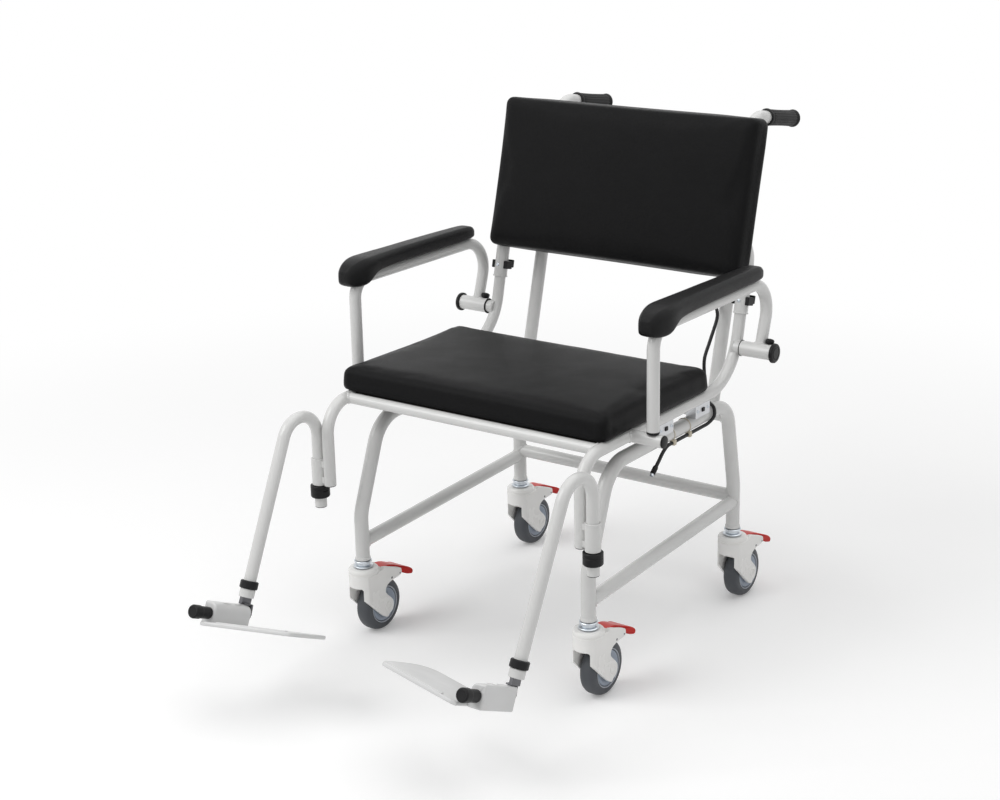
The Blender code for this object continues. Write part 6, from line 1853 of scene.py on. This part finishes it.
class ChairFrame(bpy.types.PropertyGroup):
    weld: FloatProperty(name="Weld bead", description="Radius of the weld beads between tubes",
                        default=0.0020, min=0.0005, max=0.004, unit="LENGTH")
    flute_depth: FloatProperty(name="Grip flutes", description="Depth of the flutes of the push grips",
                               default=0.0010, min=0, max=0.003, unit="LENGTH")


class ChairPads(bpy.types.PropertyGroup):
    crown: FloatProperty(name="Crown", description="How far the middle of a pad rises over its edges",
                         default=0.0030, min=0, max=0.02, unit="LENGTH")
    draw: FloatProperty(name="Draw", description="How far the middle of a pad's sides is drawn in",
                        default=0.0020, min=0, max=0.01, unit="LENGTH")
    voxel: FloatProperty(name="Mesh size", description="Size of the mesh that the covers are swollen on",
                         default=0.0060, min=0.004, max=0.02, unit="LENGTH")


class ChairIndicator(bpy.types.PropertyGroup):
    reading: StringProperty(name="Reading", description="Plain number in the lower window", default="0.0")
    second_reading: StringProperty(name="Second reading", description="Plain number in the upper window",
                                   default="0.0")


class ChairStage(bpy.types.PropertyGroup):
    world_strength: FloatProperty(name="Studio light", description="Level of the light from all sides",
                                  default=0.36, min=0, max=2)
    key_power: FloatProperty(name="Key lamp", description="Power of the lamp at the front left", default=66,
                             min=0, max=500, unit="POWER")
    top_power: FloatProperty(name="Top lamp", description="Power of the lamp overhead", default=52,
                             min=0, max=500, unit="POWER")
    side_power: FloatProperty(name="Side lamp", description="Power of the lamp at the right", default=8,
                              min=0, max=500, unit="POWER")
    floor_reach: FloatProperty(name="Floor reach", description="Where the floor has faded into white",
                               default=2.6, min=1, max=20, unit="LENGTH")


# Operators

class CHAIR_OT_stage(bpy.types.Operator):
    """Make the floor, the studio light and the camera"""
    bl_idname = "chair.stage"
    bl_label = "Studio"

    def execute(self, context):
        build_stage(context.scene.chair_stage)
        return {"FINISHED"}


class CHAIR_OT_finishes(bpy.types.Operator):
    """Make the node groups that the finishes share"""
    bl_idname = "chair.finishes"
    bl_label = "Finishes"

    def execute(self, context):
        for name, make in GROUPS.items():
            if name not in bpy.data.node_groups:
                make()
        return {"FINISHED"}


class CHAIR_OT_cable(bpy.types.Operator):
    """Make the signal cable and its free end"""
    bl_idname = "chair.cable"
    bl_label = "Cable"

    def execute(self, context):
        build_tail()
        build_cable()
        return {"FINISHED"}


class CHAIR_OT_base(bpy.types.Operator):
    """Make the hoops of the base, their bars and the push posts with grips"""
    bl_idname = "chair.base"
    bl_label = "Base frame"

    def execute(self, context):
        settings = context.scene.chair_frame
        build_base(settings.weld)
        build_posts(settings.weld, settings.flute_depth)
        return {"FINISHED"}


class CHAIR_OT_seat_frame(bpy.types.Operator):
    """Make the seat's side frames, rails and load cells"""
    bl_idname = "chair.seat_frame"
    bl_label = "Seat frame"

    def execute(self, context):
        build_seat_frame(context.scene.chair_frame.weld)
        return {"FINISHED"}


class CHAIR_OT_castors(bpy.types.Operator):
    """Make the four castors with their brake pedals"""
    bl_idname = "chair.castors"
    bl_label = "Castors"

    def execute(self, context):
        build_castors()
        return {"FINISHED"}


class CHAIR_OT_armrests(bpy.types.Operator):
    """Make both swinging armrests"""
    bl_idname = "chair.armrests"
    bl_label = "Armrests"

    def execute(self, context):
        build_armrests(context.scene.chair_frame.weld)
        return {"FINISHED"}


class CHAIR_OT_footrests(bpy.types.Operator):
    """Make both footrests with their plates"""
    bl_idname = "chair.footrests"
    bl_label = "Footrests"

    def execute(self, context):
        build_footrests()
        return {"FINISHED"}


class CHAIR_OT_indicator(bpy.types.Operator):
    """Make the weight indicator and its bracket"""
    bl_idname = "chair.indicator"
    bl_label = "Indicator"

    def execute(self, context):
        settings = context.scene.chair_indicator
        build_indicator(settings.second_reading, settings.reading)
        build_bracket()
        return {"FINISHED"}


class CHAIR_OT_pads(bpy.types.Operator):
    """Make the seat's cushion and the backrest with its pad"""
    bl_idname = "chair.pads"
    bl_label = "Seat and backrest"

    def execute(self, context):
        build_seat(context.scene.chair_pads)
        build_backrest(context.scene.chair_pads)
        return {"FINISHED"}


OPERATORS = (CHAIR_OT_finishes, CHAIR_OT_stage, CHAIR_OT_cable, CHAIR_OT_base, CHAIR_OT_seat_frame,
             CHAIR_OT_castors,
             CHAIR_OT_armrests, CHAIR_OT_footrests, CHAIR_OT_indicator, CHAIR_OT_pads)
GROUP_CLASSES = {"chair_finishes": ChairFinishes, "chair_frame": ChairFrame, "chair_pads": ChairPads,
                 "chair_indicator": ChairIndicator, "chair_stage": ChairStage}


class CHAIR_PT_panel(bpy.types.Panel):
    """Settings and steps of the chair scale"""
    bl_idname = "CHAIR_PT_panel"
    bl_label = "Chair Scale"
    bl_space_type = "VIEW_3D"
    bl_region_type = "UI"
    bl_category = "Chair Scale"

    def draw(self, context):
        for name, group in GROUP_CLASSES.items():
            box = self.layout.box()
            settings = getattr(context.scene, name)
            for field in group.__annotations__:
                box.prop(settings, field)
        for operator in OPERATORS:
            self.layout.operator(operator.bl_idname)


def register():
    for name, group in GROUP_CLASSES.items():
        bpy.utils.register_class(group)
        setattr(bpy.types.Scene, name, PointerProperty(type=group))
    for operator in (*OPERATORS, CHAIR_PT_panel):
        bpy.utils.register_class(operator)


def unregister():
    for operator in reversed((*OPERATORS, CHAIR_PT_panel)):
        bpy.utils.unregister_class(operator)
    for name, group in GROUP_CLASSES.items():
        delattr(bpy.types.Scene, name)
        bpy.utils.unregister_class(group)


def visual_box():
    """Low and high corner of all the pieces as they are seen."""
    bpy.context.view_layer.update()
    depsgraph = bpy.context.evaluated_depsgraph_get()
    points = []
    for made in bpy.context.scene.objects:
        if made.type not in ("MESH", "CURVE") or made.name == "floor" or made.hide_render:
            continue
        evaluated = made.evaluated_get(depsgraph)
        data = evaluated.to_mesh()
        points.extend(evaluated.matrix_world @ vert.co for vert in data.vertices)
        evaluated.to_mesh_clear()
    low = [min(point[axis] for point in points) for axis in range(3)]
    high = [max(point[axis] for point in points) for axis in range(3)]
    return [low, high]


def main():
    register()
    bpy.ops.chair.finishes()
    bpy.ops.chair.stage()
    bpy.ops.chair.cable()
    bpy.ops.chair.base()
    bpy.ops.chair.seat_frame()
    bpy.ops.chair.castors()
    bpy.ops.chair.armrests()
    bpy.ops.chair.footrests()
    bpy.ops.chair.indicator()
    bpy.ops.chair.pads()
    sizes = {"cad": [list(corner) for corner in CAD_BOX], "visual": visual_box()}


if __name__ == "__main__":
    main()
